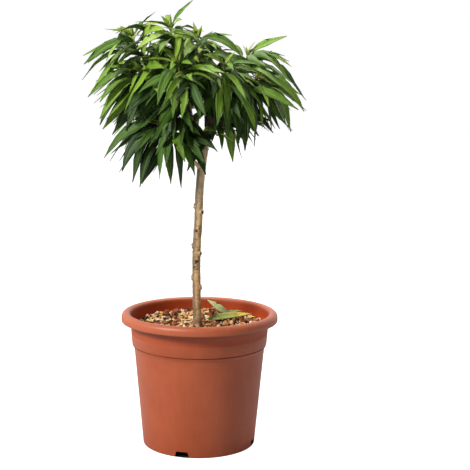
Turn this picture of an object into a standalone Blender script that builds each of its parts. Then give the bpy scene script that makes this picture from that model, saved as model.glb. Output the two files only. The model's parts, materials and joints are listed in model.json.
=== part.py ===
"""A dwarf peach grown as a small standard tree, in the plastic pot it is sold in.

Sizes are in millimetres and become metres as each mesh is made. +Z is up, the origin is the
middle of the pot's flat underside, and the side seen first is the one that faces -Y.
"""

import math
import random

import bmesh
import bpy
from mathutils import Matrix, Vector
from mathutils.bvhtree import BVHTree

MM = 0.001
GAP = 0.3  # clearance between pieces that touch
TOUCH = 0.0005  # corners nearer than this count as touching
SOLVERS = ("EXACT", "MANIFOLD")  # the second is used where the first leaves a mesh open
JOIN_TRIES = 20
HAIR = 0.01  # each new try to join pieces moves their corners by up to this much more
UP = Vector((0, 0, 1))

# Pot: a turned shell with a rolled lip, a wider collar under it and four drain notches in its foot
POT_HEIGHT = 222.0
LIP_RADIUS = 130.0
LIP_DEPTH = 15.0
LIP_WIDTH = 16.0
LIP_WALL = 3.0
WALL = 2.6
COLLAR_TOP_RADIUS = 115.2
COLLAR_FOOT_RADIUS = 112.3
COLLAR_FOOT = 167.5
STEP_DROP = 5.5
BODY_TOP_RADIUS = 108.6
FOOT_RADIUS = 93.8
FOOT_RING_WIDTH = 3.6
FLOOR = 3.0
PAD_RADIUS = 66.0
CHANNEL_HEIGHT = 8.0
POT_SIDES = 36
LIP_STEPS = 4
NOTCHES = 4
NOTCH_HEIGHT = 9.3
NOTCH_WIDTH = 25.5
NOTCH_TAPER = 0.76
FIRST_NOTCH = -107.0  # bearing in degrees, measured from +X towards +Y

# Soil: it fills the pot to a little under the lip and sinks towards the front
SOIL_LEVEL = 197.5
SOIL_SLOPE = 0.045
SOIL_LUMP = 1.3
SOIL_RINGS = 6
SOIL_ROUGH = 1.6  # the grit stands this far above and below the level
SEAT_RADIUS = 24.0  # the soil is level this far round the trunk
SEAT_EASE = 12.0

# Trunk: bare, a little curved, with a root flare and the scars of cut side shoots
FOOT_PLACE = (-3.8, -1.5)
FORK_PLACE = (5.0, -12.0, 493.0)
FOOT_LEAN = -0.036
FORK_LEAN = 0.12
BOW = 1.7  # the trunk swings out this far to the right
BOW_HEIGHT = 375.0
BOW_SPREAD = 34.0
TRUNK_RADIUS = 7.1
TRUNK_TIP_RADIUS = 6.7
FLARE = 1.8
FLARE_HEIGHT = 9.0
FORK_SWELL = 1.1  # extra radius under the fork
FORK_SWELL_HEIGHT = 30.0
TRUNK_SIDES = 12
KNOT_RADIUS = 2.6
# Height above the soil and bearing of each scar
KNOTS = (
    (209, 188), (200, 320), (169, 257), (142, 190), (130, 328), (117, 278), (108, 250), (89, 185), (74, 345),
)

# Boughs: parent, share of the parent's length they leave it at, tip, radius at foot and at tip
BOUGHS = {
    "bough_right": ("trunk", 1.0, (22, -16, 567), 6.8, 4.6),
    "bough_left": ("trunk", 0.985, (-27, -16, 567), 5.6, 4.0),
    "bough_low": ("trunk", 0.89, (-26, -30, 497), 3.4, 2.8),
    "bough_back": ("bough_right", 0.42, (8, 34, 567), 4.0, 3.1),
    "bough_left_outer": ("bough_left", 0.66, (-67, -12, 596), 3.7, 2.9),
    "bough_right_outer": ("bough_right", 0.72, (59, 0, 587), 3.7, 2.9),
}
BOUGH_SIDES = 8

# Masses of leaves: bough, share of it, shoot tip, leaves on the stem, side twigs, seed
MASSES = {
    "foliage_top": ("bough_left", 1.0, (-49, -10, 684), 14, 2, 1),
    "foliage_crown": ("bough_right", 1.0, (-7, -25, 665), 14, 2, 2),
    "foliage_left": ("bough_left_outer", 1.0, (-110, -10, 670), 14, 2, 5),
    "foliage_right_high": ("bough_right_outer", 1.0, (75, 28, 644), 11, 2, 7),
    "foliage_low": ("bough_low", 1.0, (-60, -52, 528), 10, 1, 9),
    "foliage_back_top": ("bough_back", 1.0, (-20, 60, 656), 13, 2, 11),
    "foliage_front": ("bough_left", 0.80, (-35, -72, 622), 13, 2, 3),
    "foliage_right": ("bough_right", 0.86, (35, -55, 623), 12, 2, 4),
    "foliage_left_low": ("bough_left_outer", 0.76, (-93, -50, 612), 13, 1, 6),
    "foliage_right_low": ("bough_right_outer", 0.78, (85, -28, 604), 10, 2, 8),
    "foliage_middle": ("bough_left", 0.42, (-18, -52, 575), 9, 1, 10),
    "foliage_fork": ("bough_right", 0.25, (32, -46, 546), 5, 0, 15),
    "foliage_back_left": ("bough_left_outer", 0.45, (-81, 52, 628), 13, 2, 12),
    "foliage_back_right": ("bough_right_outer", 0.50, (51, 74, 613), 12, 2, 13),
    "foliage_back_low": ("bough_back", 0.62, (-3, 84, 575), 13, 2, 14),
}
STEM_RADIUS = 2.5
STEM_TIP_RADIUS = 1.5
STEM_SIDES = 4
TWIG_RADIUS = 1.9
TWIG_TIP_RADIUS = 1.3
TWIG_SIDES = 3
TWIG_LENGTH = (26.0, 44.0)
TWIG_LEAVES = 4
TWIG_LEAF = 0.86  # size of a twig's leaves against a stem's
BARE_SHARE = 0.42  # the foot of a stem that has lost its leaves
TWIG_BARE_SHARE = 0.35
SPIRAL = math.radians(137.5)

# The furthest leaf tips of each mass, which give the crown its outline from the front
OUTER_TIPS = {
    "foliage_top": ((-14, 0, 730), (-62, -10, 703), (-100, -20, 691), (11, 0, 672)),
    "foliage_crown": ((66, -30, 638), (18, 20, 682)),
    "foliage_left": ((-144, 0, 679), (-181, -15, 628), (-192, 15, 640)),
    "foliage_left_low": ((-178, -45, 574), (-158, -60, 566), (-160, -40, 530), (-136, -50, 508)),
    "foliage_right": ((45, -20, 671),),
    "foliage_right_high": ((141, 40, 677), (144, 20, 635), (146, 10, 595), (117, 50, 653)),
    "foliage_right_low": ((166, -20, 554), (143, -40, 522), (112, -50, 524), (84, -60, 499), (71, -30, 491)),
    "foliage_low": (
        (-153, -50, 478), (-146, -20, 472), (-123, -70, 459), (-108, -50, 440), (-96, -60, 433),
        (-64, -80, 448), (-47, -60, 439), (-31, -50, 431), (-9, -80, 454), (8, -60, 454), (26, -70, 491),
    ),
    "foliage_fork": ((51, -50, 474),),
}
# Tips of the large leaves that hang in front
FRONT_TIPS = {
    "foliage_top": ((-75, -75, 635), (-60, -95, 609)),
    "foliage_crown": ((46, -90, 578), (9, -85, 631)),
    "foliage_left": ((-124, -70, 627),),
    "foliage_left_low": ((-114, -75, 540),),
    "foliage_low": ((-53, -105, 469), (-24, -110, 477), (8, -105, 472), (24, -92, 495)),
    "foliage_front": ((-66, -120, 563), (-43, -115, 544), (-2, -110, 552)),
    "foliage_right": (
        (40, -100, 543), (78, -90, 563), (91, -60, 597), (28, -60, 509), (85, -85, 522), (42, -95, 514),
        (61, -100, 542),
    ),
    "foliage_right_low": ((109, -62, 573), (96, -65, 529), (73, -80, 513), (58, -65, 499)),
    "foliage_fork": ((17, -60, 504), (33, -75, 494), (28, -75, 514)),
}
# Where sky shows through the crown from the front: across, up, radius
SKY_GAPS = ((-85, 584, 3), (1, 582, 4), (-13, 549, 7), (3, 536, 8))
CROWN_CENTRE = (-14.0, 576.0)
CROWN_DEPTH = 138.0
OUTLINE_EASE = 1.05

# Leaves: long and narrow, folded along the midrib, arching over and hanging
LEAF_LENGTH = 100.0
LEAF_SHAPE = 0.200  # greatest width as a share of the length
LEAF_THICKNESS = 0.013
LEAF_FOLD = 0.34
LEAF_STEPS = 12
LEAF_STATIONS = (0, 5, 9, 12)
SHORT_STATIONS = (0, 6, 12)
LONG_LEAF = 80.0
OUTER_STATIONS = (3, 5, 8, 12)
PETIOLE = 0.09
WIDEST = (0.74, 1.12)  # powers that set where the blade is widest and how it runs out
ARCH = 1.45  # how far a hanging leaf turns from foot to tip, in radians
AIMED_ARCH = 1.3
FALL = (0.80, 1.25)  # how steeply the outer half of a leaf may hang, in radians
TWIST = 0.85  # how far a leaf can turn its face out of the crown, in radians
TO_FRONT = 0.3
CLEAR = 0.5  # extra half width and thickness of a leaf in the touch test
TRIES = 12
STRICT_TRIES = 8  # tries in which a leaf may not cross the others of its own mass

COLOURS = {
    "pot": ((0.50, 0.155, 0.075), 0.45),
    "soil": ((0.20, 0.12, 0.06), 0.95),
    "bark": ((0.33, 0.23, 0.13), 0.80),
    "leaf": ((0.10, 0.24, 0.04), 0.40),
}


def mix(a, b, share):
    return a + (b - a) * share


def bearing_way(degrees):
    """The level direction at a bearing."""
    return Vector((math.cos(math.radians(degrees)), math.sin(math.radians(degrees)), 0))


def clear_scene():
    for thing in list(bpy.data.objects):
        bpy.data.objects.remove(thing, do_unlink=True)


def material(kind):
    colour, roughness = COLOURS[kind]
    made = bpy.data.materials.get(kind) or bpy.data.materials.new(kind)
    made.use_nodes = True
    shader = made.node_tree.nodes["Principled BSDF"]
    shader.inputs["Base Color"].default_value = (*colour, 1)
    shader.inputs["Roughness"].default_value = roughness
    made.diffuse_color = (*colour, 1)
    return made


def as_object(name, bm, kind, smooth=True):
    """A mesh object in metres from a bmesh in millimetres."""
    bmesh.ops.recalc_face_normals(bm, faces=bm.faces)
    bmesh.ops.scale(bm, vec=(MM, MM, MM), verts=bm.verts)
    mesh = bpy.data.meshes.new(name)
    bm.to_mesh(mesh)
    bm.free()
    if smooth:
        mesh.shade_smooth()
        mesh.set_sharp_from_angle(angle=math.radians(40))
    mesh.materials.append(material(kind))
    thing = bpy.data.objects.new(name, mesh)
    bpy.context.scene.collection.objects.link(thing)
    return thing


def modified(thing):
    """The mesh that an object's modifiers make."""
    bpy.context.view_layer.update()
    graph = bpy.context.evaluated_depsgraph_get()
    return bpy.data.meshes.new_from_object(thing.evaluated_get(graph))


def is_sound(mesh, least_corners):
    """True if a mesh is closed, nowhere touches itself and has at least some number of corners."""
    bm = bmesh.new()
    bm.from_mesh(mesh)
    corners = len(bm.verts)
    closed = all(part.is_manifold for part in [*bm.edges, *bm.verts])
    bmesh.ops.remove_doubles(bm, verts=bm.verts, dist=TOUCH * MM)
    apart = len(bm.verts) == corners
    bm.free()
    return closed and apart and corners > least_corners


def boolean(thing, others, operation):
    """Joins or cuts an object with others in one Boolean, applies it and removes the others."""
    group = bpy.data.collections.new(thing.name + "_others")
    bpy.context.scene.collection.children.link(group)
    for other in others:
        bpy.context.scene.collection.objects.unlink(other)
        group.objects.link(other)
    join = thing.modifiers.new(operation.lower(), "BOOLEAN")
    join.operation = operation
    join.operand_type = "COLLECTION"
    join.collection = group
    least = 0.6 * sum(len(other.data.vertices) for other in others) if operation == "UNION" else 0
    for solver in SOLVERS:
        join.solver = solver
        mesh = modified(thing)
        if is_sound(mesh, least):
            break
    thing.modifiers.clear()
    thing.data = mesh
    for other in others:
        bpy.data.objects.remove(other, do_unlink=True)
    bpy.data.collections.remove(group)


def loft(rings, tip=None):
    """A closed body that runs through rings of corners, and ends in a point where a tip is given."""
    bm = bmesh.new()
    corners = [bm.verts.new(place) for place in rings[0]]
    face = bm.faces.new(corners)
    for number, ring in enumerate([*rings[1:], *([] if tip is None else [[tip] * len(corners)])]):
        grown = bmesh.ops.extrude_face_region(bm, geom=[face], use_keep_orig=True)["geom"]
        new = {part for part in grown if isinstance(part, bmesh.types.BMVert)}
        corners = [
            next(edge.other_vert(corner) for edge in corner.link_edges if edge.other_vert(corner) in new)
            for corner in corners
        ]
        if number > 0:
            bmesh.ops.delete(bm, geom=[face], context="FACES_ONLY")
        face = next(part for part in grown if isinstance(part, bmesh.types.BMFace))
        for corner, place in zip(corners, ring):
            corner.co = place
    if tip is not None:
        bmesh.ops.pointmerge(bm, verts=corners, merge_co=tip)
    split_outwards(bm)
    return bm


def split_outwards(bm):
    """Cuts each four-sided face along the diagonal that bulges: a thin twisted body can't cross itself then."""
    bmesh.ops.recalc_face_normals(bm, faces=bm.faces)
    for face in [face for face in bm.faces if len(face.verts) == 4]:
        a, b, c, d = face.verts
        sunk = (b.co - a.co).cross(c.co - a.co).dot(d.co - a.co) > 0
        bmesh.utils.face_split(face, *((b, d) if sunk else (a, c)))


def turned(profile, sides):
    """A body turned about Z from a profile of radius and height that starts and ends on the axis."""
    bm = bmesh.new()
    corners = [bm.verts.new((radius, 0, height)) for radius, height in profile]
    edges = [bm.edges.new(pair) for pair in zip(corners, corners[1:])]
    bmesh.ops.spin(
        bm, geom=[*corners, *edges], axis=(0, 0, 1), cent=(0, 0, 0), steps=sides,
        angle=math.tau, use_merge=True,
    )
    bmesh.ops.remove_doubles(bm, verts=bm.verts, dist=0.001)
    return bm


def arc(centre, radii, first, last, steps):
    """Points of an elliptical arc in the profile plane, by angle in degrees."""
    angles = [math.radians(mix(first, last, step / steps)) for step in range(steps + 1)]
    return [(centre[0] + radii[0] * math.cos(a), centre[1] + radii[1] * math.sin(a)) for a in angles]


def body_radius(height):
    """Outer radius of the pot's body, which is straight from foot to collar."""
    return mix(FOOT_RADIUS, BODY_TOP_RADIUS, height / (COLLAR_FOOT - STEP_DROP))


def inner_radius(height):
    """Radius of the pot's inner wall."""
    if height < COLLAR_FOOT:
        return body_radius(height) - WALL
    share = (height - COLLAR_FOOT) / (POT_HEIGHT - LIP_DEPTH - COLLAR_FOOT)
    return mix(body_radius(COLLAR_FOOT), COLLAR_TOP_RADIUS, share) - WALL


def pot_profile():
    lip_centre = (LIP_RADIUS - LIP_WIDTH / 2, POT_HEIGHT - LIP_WIDTH / 2)
    outer = (LIP_WIDTH / 2, LIP_WIDTH / 2)
    inner = (outer[0] - LIP_WALL, outer[1] - LIP_WALL)
    lip_foot = POT_HEIGHT - LIP_DEPTH
    return [
        (0, 0),
        (PAD_RADIUS, 0),
        (PAD_RADIUS + 2, CHANNEL_HEIGHT),
        (FOOT_RADIUS - FOOT_RING_WIDTH, CHANNEL_HEIGHT),
        (FOOT_RADIUS - FOOT_RING_WIDTH, 0),
        (FOOT_RADIUS - 0.8, 0),
        (FOOT_RADIUS, 0.8),
        (BODY_TOP_RADIUS, COLLAR_FOOT - STEP_DROP),
        (COLLAR_FOOT_RADIUS - 0.6, COLLAR_FOOT - 1.5),
        (COLLAR_FOOT_RADIUS, COLLAR_FOOT),
        (COLLAR_TOP_RADIUS, lip_foot),
        (lip_centre[0] - inner[0], lip_centre[1] - 3),
        *arc(lip_centre, inner, 180, 0, LIP_STEPS)[1:],
        (LIP_RADIUS - LIP_WALL, lip_foot),
        (LIP_RADIUS, lip_foot),
        *arc(lip_centre, outer, 0, 180, LIP_STEPS),
        (inner_radius(lip_foot), lip_foot - 2),
        (inner_radius(COLLAR_FOOT), COLLAR_FOOT),
        (inner_radius(CHANNEL_HEIGHT + FLOOR), CHANNEL_HEIGHT + FLOOR),
        (PAD_RADIUS + 1, CHANNEL_HEIGHT + FLOOR),
        (PAD_RADIUS - 2, FLOOR),
        (0, FLOOR),
    ]


def make_pot():
    pot = as_object("pot", turned(pot_profile(), POT_SIDES), "pot")
    cutters = []
    for number in range(NOTCHES):
        out = bearing_way(FIRST_NOTCH + number * 360 / NOTCHES)
        across = UP.cross(out)
        near = FOOT_RADIUS - FOOT_RING_WIDTH - 4
        rings = [
            [
                out * reach + across * (side * half) + UP * height
                for side, half, height in (
                    (-1, NOTCH_WIDTH / 2, -2),
                    (1, NOTCH_WIDTH / 2, -2),
                    (1, NOTCH_WIDTH / 2 * NOTCH_TAPER, NOTCH_HEIGHT),
                    (-1, NOTCH_WIDTH / 2 * NOTCH_TAPER, NOTCH_HEIGHT),
                )
            ]
            for reach in (near, FOOT_RADIUS + 6)
        ]
        cutters.append(as_object(f"notch_{number}", loft(rings), "pot"))
    boolean(pot, cutters, "DIFFERENCE")
    return pot


def soil_height(x, y):
    """Height of the soil at a place. It is level where the trunk stands."""
    lumps = math.sin(x / 15 + 1) * math.cos(y / 13) + 0.6 * math.sin((x + y) / 8)
    level = SOIL_LEVEL + SOIL_SLOPE * FOOT_PLACE[1]
    return mix(level, SOIL_LEVEL + SOIL_SLOPE * y + SOIL_LUMP * lumps, off_seat(x, y))


def off_seat(x, y):
    """0 on the trunk's level seat, 1 well away from it."""
    away = math.hypot(x - FOOT_PLACE[0], y - FOOT_PLACE[1])
    return min(1, max(0, (away - SEAT_RADIUS) / SEAT_EASE))


def make_soil():
    """A plug that fits the pot, with the trunk's seat kept level."""
    clear = GAP + 0.1
    lowest = CHANNEL_HEIGHT + FLOOR + GAP
    profile = [(0, FLOOR + GAP), (PAD_RADIUS - 3, FLOOR + GAP), (PAD_RADIUS, lowest)]
    profile += [(inner_radius(height) - clear, height) for height in (lowest, COLLAR_FOOT)]
    edge = inner_radius(SOIL_LEVEL - 12) - clear
    profile += [(edge * (1 - ring / SOIL_RINGS), SOIL_LEVEL) for ring in range(SOIL_RINGS + 1)]
    bm = turned(profile, POT_SIDES)
    rng = random.Random("soil")
    for corner in bm.verts:
        if corner.co.z > SOIL_LEVEL - 1:
            x, y = corner.co.xy
            corner.co.z = soil_height(x, y) + rng.uniform(-SOIL_ROUGH, SOIL_ROUGH) * off_seat(x, y)
    return as_object("soil", bm, "soil", smooth=False)


def bend(start, start_way, end, end_way, steps, pull=0.38, collar=0.0):
    """Points of a smooth curve between two places, leaving and arriving in the given directions.

    A collar is a short straight length at the start, so that the first cut is square.
    """
    places = [start] if collar else []
    start = start + start_way * collar
    reach = (end - start).length * pull
    first, second = start + start_way * reach, end - end_way * reach
    for step in range(steps + 1):
        t = step / steps
        u = 1 - t
        places.append(u**3 * start + 3 * u * u * t * first + 3 * u * t * t * second + t**3 * end)
    return places


def ways(points):
    """The direction of a line of points at each of them."""
    last = len(points) - 1
    return [(points[min(i + 1, last)] - points[max(i - 1, 0)]).normalized() for i in range(last + 1)]


def along(line, share):
    """Place and direction at a share of a line's length."""
    spot = share * (len(line) - 1)
    low = min(int(spot), len(line) - 2)
    return line[low].lerp(line[low + 1], spot - low), ways(line)[min(round(spot), len(line) - 1)]


def level_side(way):
    """A level direction square to a direction."""
    side = way.cross(UP)
    return side.normalized() if side.length > 0.05 else Vector((1, 0, 0))


def carried(vector, way):
    """A vector turned as little as needed to be square to a direction."""
    return (vector - way * vector.dot(way)).normalized()


def tube(line, radii, sides):
    """A limb: a closed tube round a line of points, with a radius at each."""
    rings = []
    side = level_side(ways(line)[0])
    for place, way, radius in zip(line, ways(line), radii):
        side = carried(side, way)
        other = way.cross(side)
        turns = [math.tau * k / sides for k in range(sides)]
        rings.append([place + (side * math.cos(a) + other * math.sin(a)) * radius for a in turns])
    return loft(rings)


def taper(first, last, count):
    return [mix(first, last, step / (count - 1)) for step in range(count)]


def trunk_line():
    foot = Vector((*FOOT_PLACE, soil_height(*FOOT_PLACE) + GAP))
    foot_way, fork_way = Vector((FOOT_LEAN, 0, 1)), Vector((FORK_LEAN, 0, 1)).normalized()
    line = [foot, *bend(foot + UP * FLARE_HEIGHT * 0.6, foot_way, Vector(FORK_PLACE), fork_way, 13)]
    for place in line:
        place.x += BOW * math.exp(-(((place.z - BOW_HEIGHT) / BOW_SPREAD) ** 2))
    return line


def trunk_radii(line):
    foot = line[0].z
    whole = line[-1].z - foot
    return [
        mix(TRUNK_RADIUS, TRUNK_TIP_RADIUS, (place.z - foot) / whole)
        + FLARE * math.exp(-(place.z - foot) / FLARE_HEIGHT)
        + FORK_SWELL * math.exp(-(line[-1].z - place.z) / FORK_SWELL_HEIGHT)
        for place in line
    ]


def make_trunk():
    line = trunk_line()
    trunk = as_object("trunk", tube(line, trunk_radii(line), TRUNK_SIDES), "bark")
    knots = []
    for number, (height, bearing) in enumerate(KNOTS):
        place, way = along(line, height / (line[-1].z - line[0].z))
        out = carried(bearing_way(bearing), way)
        stub = [place + out * (TRUNK_RADIUS - 3), place + out * (TRUNK_RADIUS + 1.3) + way * 0.8]
        knots.append(as_object(f"knot_{number}", tube(stub, (KNOT_RADIUS, KNOT_RADIUS * 0.6), 6), "bark"))
    boolean(trunk, knots, "UNION")
    return trunk, line


def start_way(parent_line, share, place, tip, level):
    """A leader carries its parent's direction on, and a side limb leaves towards its tip."""
    if share == 1.0:
        return ways(parent_line)[-1]
    out = tip - place
    out.z = out.z * level
    return out.normalized().lerp(UP, 0.2).normalized()


def limb_line(lines, parent, share, tip, level, lift, steps):
    """The centre line of a bough or a stem."""
    place, way = along(lines[parent], share)
    tip = Vector(tip)
    away = start_way(lines[parent], share, place, tip, level)
    if share == 1.0:
        place = place + way * GAP
    end = (tip - place).normalized().lerp(UP, lift).normalized()
    return bend(place, away, tip, end, steps, collar=1.5)


def grow_lines():
    """Centre lines and radii of the trunk, the boughs and the stem of each mass."""
    lines = {"trunk": trunk_line()}
    radii = {"trunk": trunk_radii(lines["trunk"])}
    for name, (parent, share, tip, foot_radius, tip_radius) in BOUGHS.items():
        lines[name] = limb_line(lines, parent, share, tip, 0.9, 0.45, 6)
        radii[name] = taper(foot_radius, tip_radius, len(lines[name]))
    for name, (parent, share, tip, *_) in MASSES.items():
        lines[name] = limb_line(lines, parent, share, tip, 0.5, 0.55, 5)
        radii[name] = taper(STEM_RADIUS, STEM_TIP_RADIUS, len(lines[name]))
    return lines, radii


def sides_of(name):
    if name == "trunk":
        return TRUNK_SIDES
    return STEM_SIDES if name in MASSES else BOUGH_SIDES


def limb_body(name, lines, radii, clear=0.0):
    return tube(lines[name], [radius + clear for radius in radii[name]], sides_of(name))


def keep_largest(thing):
    """Drops every loose scrap and fills every sealed hollow of a mesh: one shell is left."""
    bm = bmesh.new()
    bm.from_mesh(thing.data)
    shells, seen = [], set()
    for corner in bm.verts:
        if corner in seen:
            continue
        shell, queue = [], [corner]
        seen.add(corner)
        while queue:
            here = queue.pop()
            shell.append(here)
            for edge in here.link_edges:
                other = edge.other_vert(here)
                if other not in seen:
                    seen.add(other)
                    queue.append(other)
        shells.append(shell)
    shells.sort(key=len)
    bmesh.ops.delete(bm, geom=[corner for shell in shells[:-1] for corner in shell], context="VERTS")
    bm.to_mesh(thing.data)
    bm.free()


def seat_limb(thing, name, lines, radii, earlier):
    """Cuts a side limb to the limbs that it grows out of, and leaves the clearance."""
    own = search_tree(limb_body(name, lines, radii))
    cutters = []
    for other in earlier:
        if touch(own, search_tree(limb_body(other, lines, radii, GAP))):
            cutters.append(as_object("seat", limb_body(other, lines, radii, GAP), "bark"))
    if cutters:
        boolean(thing, cutters, "DIFFERENCE")
    keep_largest(thing)


def search_tree(bm):
    """A search tree of a bmesh, with its middle and its reach. The bmesh is freed."""
    tree = BVHTree.FromBMesh(bm)
    corners = [corner.co.copy() for corner in bm.verts]
    bm.free()
    middle = sum(corners, Vector()) / len(corners)
    return tree, middle, max((corner - middle).length for corner in corners)


def touch(one, other):
    return (one[1] - other[1]).length < one[2] + other[2] and bool(one[0].overlap(other[0]))


def leaf_line(root, heading, rise, arch, fall, length, sickle, roll):
    """The midrib of one leaf, with the side and face directions along it.

    Most of the arch is near the leaf's foot, and its outer half hangs nearly straight.
    """
    level = Vector((-math.sin(heading), math.cos(heading), 0))
    out = Vector((root.x - CROWN_CENTRE[0], root.y, 0)) / CROWN_DEPTH - Vector((0, TO_FRONT, 0))
    roll -= TWIST * max(-1, min(1, 2 * level.dot(out)))
    places, sides, faces = [root.copy()], [], []
    for half_step in range(2 * LEAF_STEPS + 1):
        share = half_step / (2 * LEAF_STEPS)
        climb = max(rise - arch * (1 - (1 - share) ** 2), -fall)
        turn = heading + sickle * (share - 0.5)
        way = Vector((math.cos(climb) * math.cos(turn), math.cos(climb) * math.sin(turn), math.sin(climb)))
        if half_step % 2:
            places.append(places[-1] + way * (length / LEAF_STEPS))
            continue
        side = Vector((-math.sin(turn), math.cos(turn), 0))
        face = way.cross(side)
        twist = roll * min(1, share * 4)
        sides.append(side * math.cos(twist) + face * math.sin(twist))
        faces.append(face * math.cos(twist) - side * math.sin(twist))
    return {"places": places, "sides": sides, "faces": faces, "length": length}


def aimed_leaf(root, tip, arch, sickle, roll):
    """A leaf from a root to a tip: an arch is bent, then turned and scaled to end at the tip."""
    chord = tip - root
    climb = math.asin(chord.z / chord.length)
    arch = arch * (0.3 if climb > 0.35 else 1.0)
    rise = min(climb + arch / 2, 1.2)
    leaf = leaf_line(root, math.atan2(chord.y, chord.x), rise, arch, 1.5, chord.length, sickle, roll)
    reached = leaf["places"][-1] - root
    turn = reached.rotation_difference(chord)
    scale = chord.length / reached.length
    leaf["places"] = [root + turn @ (place - root) * scale for place in leaf["places"]]
    leaf["sides"] = [turn @ side for side in leaf["sides"]]
    leaf["faces"] = [turn @ face for face in leaf["faces"]]
    leaf["length"] *= scale
    return leaf


def spiral_leaf(place, axis, turn, age, size, rng):
    """A leaf of the spiral round a shoot.

    Age runs from 0 at the shoot's tip, where leaves are small and upright, to 1 at its foot.
    """
    out = Matrix.Rotation(turn + rng.uniform(-0.35, 0.35), 3, axis) @ level_side(axis)
    spread = math.radians(mix(30, 84, age**0.7) + rng.uniform(-12, 12))
    way = axis * math.cos(spread) + out * math.sin(spread)
    length = LEAF_LENGTH * size * mix(0.50, 1.0, min(1, age * 3.2)) * rng.uniform(0.84, 1.10)
    arch = mix(0.6, 1.0, age) * ARCH * rng.uniform(0.8, 1.3)
    return leaf_line(
        place, math.atan2(way.y, way.x), math.asin(max(-1, min(1, way.z))), arch, rng.uniform(*FALL),
        length, rng.uniform(-0.5, 0.5), rng.uniform(-0.6, 0.6),
    )


def half_width(leaf, share):
    """Half the leaf's width at a share of its length."""
    stalk = leaf["length"] * 0.009
    blade = max(0, (share - PETIOLE) / (1 - PETIOLE))
    rise, fall = WIDEST
    peak = rise / (rise + fall)
    shape = blade**rise * (1 - blade) ** fall / (peak**rise * (1 - peak) ** fall)
    return max(stalk, leaf["length"] * LEAF_SHAPE / 2 * shape)


def leaf_body(leaf, stations=None, clear=0.0):
    """The leaf as a thin closed blade with its midrib as a keel. A short leaf has fewer faces."""
    rings = []
    stations = stations or (LEAF_STATIONS if leaf["length"] > LONG_LEAF else SHORT_STATIONS)
    for step in stations[:-1]:
        share = step / LEAF_STEPS
        place, side, face = leaf["places"][step], leaf["sides"][step], leaf["faces"][step]
        half = half_width(leaf, share) + clear
        thick = face * (leaf["length"] * LEAF_THICKNESS / 2 + clear)
        lift = face * (half * LEAF_FOLD * min(1, share * 3))
        rings.append([place + side * half + lift, place - side * half + lift, place - thick])
    return loft(rings, leaf["places"][-1])


def crown_outline():
    """Bearing in the front view and distance from the crown's centre of each outer tip, in order."""
    found = []
    for tips in OUTER_TIPS.values():
        for x, _, z in tips:
            across, up = x - CROWN_CENTRE[0], z - CROWN_CENTRE[1]
            found.append((math.atan2(up, across), math.hypot(across, up)))
    found.sort()
    first, last = found[0], found[-1]
    return [(last[0] - math.tau, last[1]), *found, (first[0] + math.tau, first[1])]


def inside_crown(leaf, outline):
    """True if the whole leaf is within the crown's outline and depth, and out of the gaps of sky."""
    for place in leaf["places"]:
        across, up = place.x - CROWN_CENTRE[0], place.z - CROWN_CENTRE[1]
        bearing = math.atan2(up, across)
        low, high = next(pair for pair in zip(outline, outline[1:]) if pair[0][0] <= bearing <= pair[1][0])
        share = (bearing - low[0]) / max(1e-9, high[0] - low[0])
        edge = mix(low[1], high[1], share) * OUTLINE_EASE
        if (math.hypot(across, up) / edge) ** 2 + (place.y / CROWN_DEPTH) ** 2 > 1:
            return False
        if any(math.hypot(place.x - x, place.z - z) < radius for x, z, radius in SKY_GAPS):
            return False
    return True


def grow_twig(name, number, stem, attempt):
    """A side twig of a mass by the seeded rule."""
    rng = random.Random(f"twig {name} {number} {MASSES[name][5]}")
    place, way = along(stem, mix(0.55, 0.80, rng.random()))
    turn = rng.uniform(0, math.tau) + SPIRAL * 2 * number + attempt * 0.9
    out = Matrix.Rotation(turn, 3, way) @ level_side(way)
    away = (way * 0.5 + out).normalized()
    tip = place + away * rng.uniform(*TWIG_LENGTH)
    tip.z += 6
    return bend(place, away, tip, away.lerp(UP, 0.4).normalized(), 3)


def twig_body(line, clear=0.0):
    radii = [radius + clear for radius in taper(TWIG_RADIUS, TWIG_TIP_RADIUS, len(line))]
    return tube(line, radii, TWIG_SIDES)


def aimed_slots(name, stem):
    """The leaves of a mass that reach a set tip, from the stem's tip downwards."""
    tips = [*OUTER_TIPS.get(name, ()), *FRONT_TIPS.get(name, ())]
    return [
        {
            "name": name, "label": f"aimed {number}", "line": stem, "tip": Vector(tip),
            "share": mix(1.0, 0.62, number / max(1, len(tips) - 1)),
        }
        for number, tip in enumerate(tips)
    ]


def spiral_slots(name, label, line, count, bare, size, first=0.0):
    """The leaves of one shoot, which spiral from its tip down to its bare foot."""
    slots = []
    for number in range(count):
        age = number / (count - 1)
        slots.append({
            "name": name, "label": f"{label} {number}", "line": line, "share": mix(1.0, bare, age**1.25),
            "age": age, "turn": first + SPIRAL * number, "size": size,
        })
    return slots


def leaf_in_slot(slot, attempt):
    """The leaf a slot gives at its first or a later try."""
    rng = random.Random(f"leaf {slot['label']} {slot['name']} {MASSES[slot['name']][5]}")
    if "tip" in slot:
        root = along(slot["line"], slot["share"] - 0.05 * (attempt % 4))[0]
        arch = AIMED_ARCH * rng.uniform(0.85, 1.15) * (1 - 0.1 * (attempt // 2))
        return aimed_leaf(root, slot["tip"], arch, rng.uniform(-0.4, 0.4), rng.uniform(-0.5, 0.5))
    place, axis = along(slot["line"], slot["share"])
    return spiral_leaf(place, axis, slot["turn"] + attempt * 0.75, slot["age"], slot["size"], rng)


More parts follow.
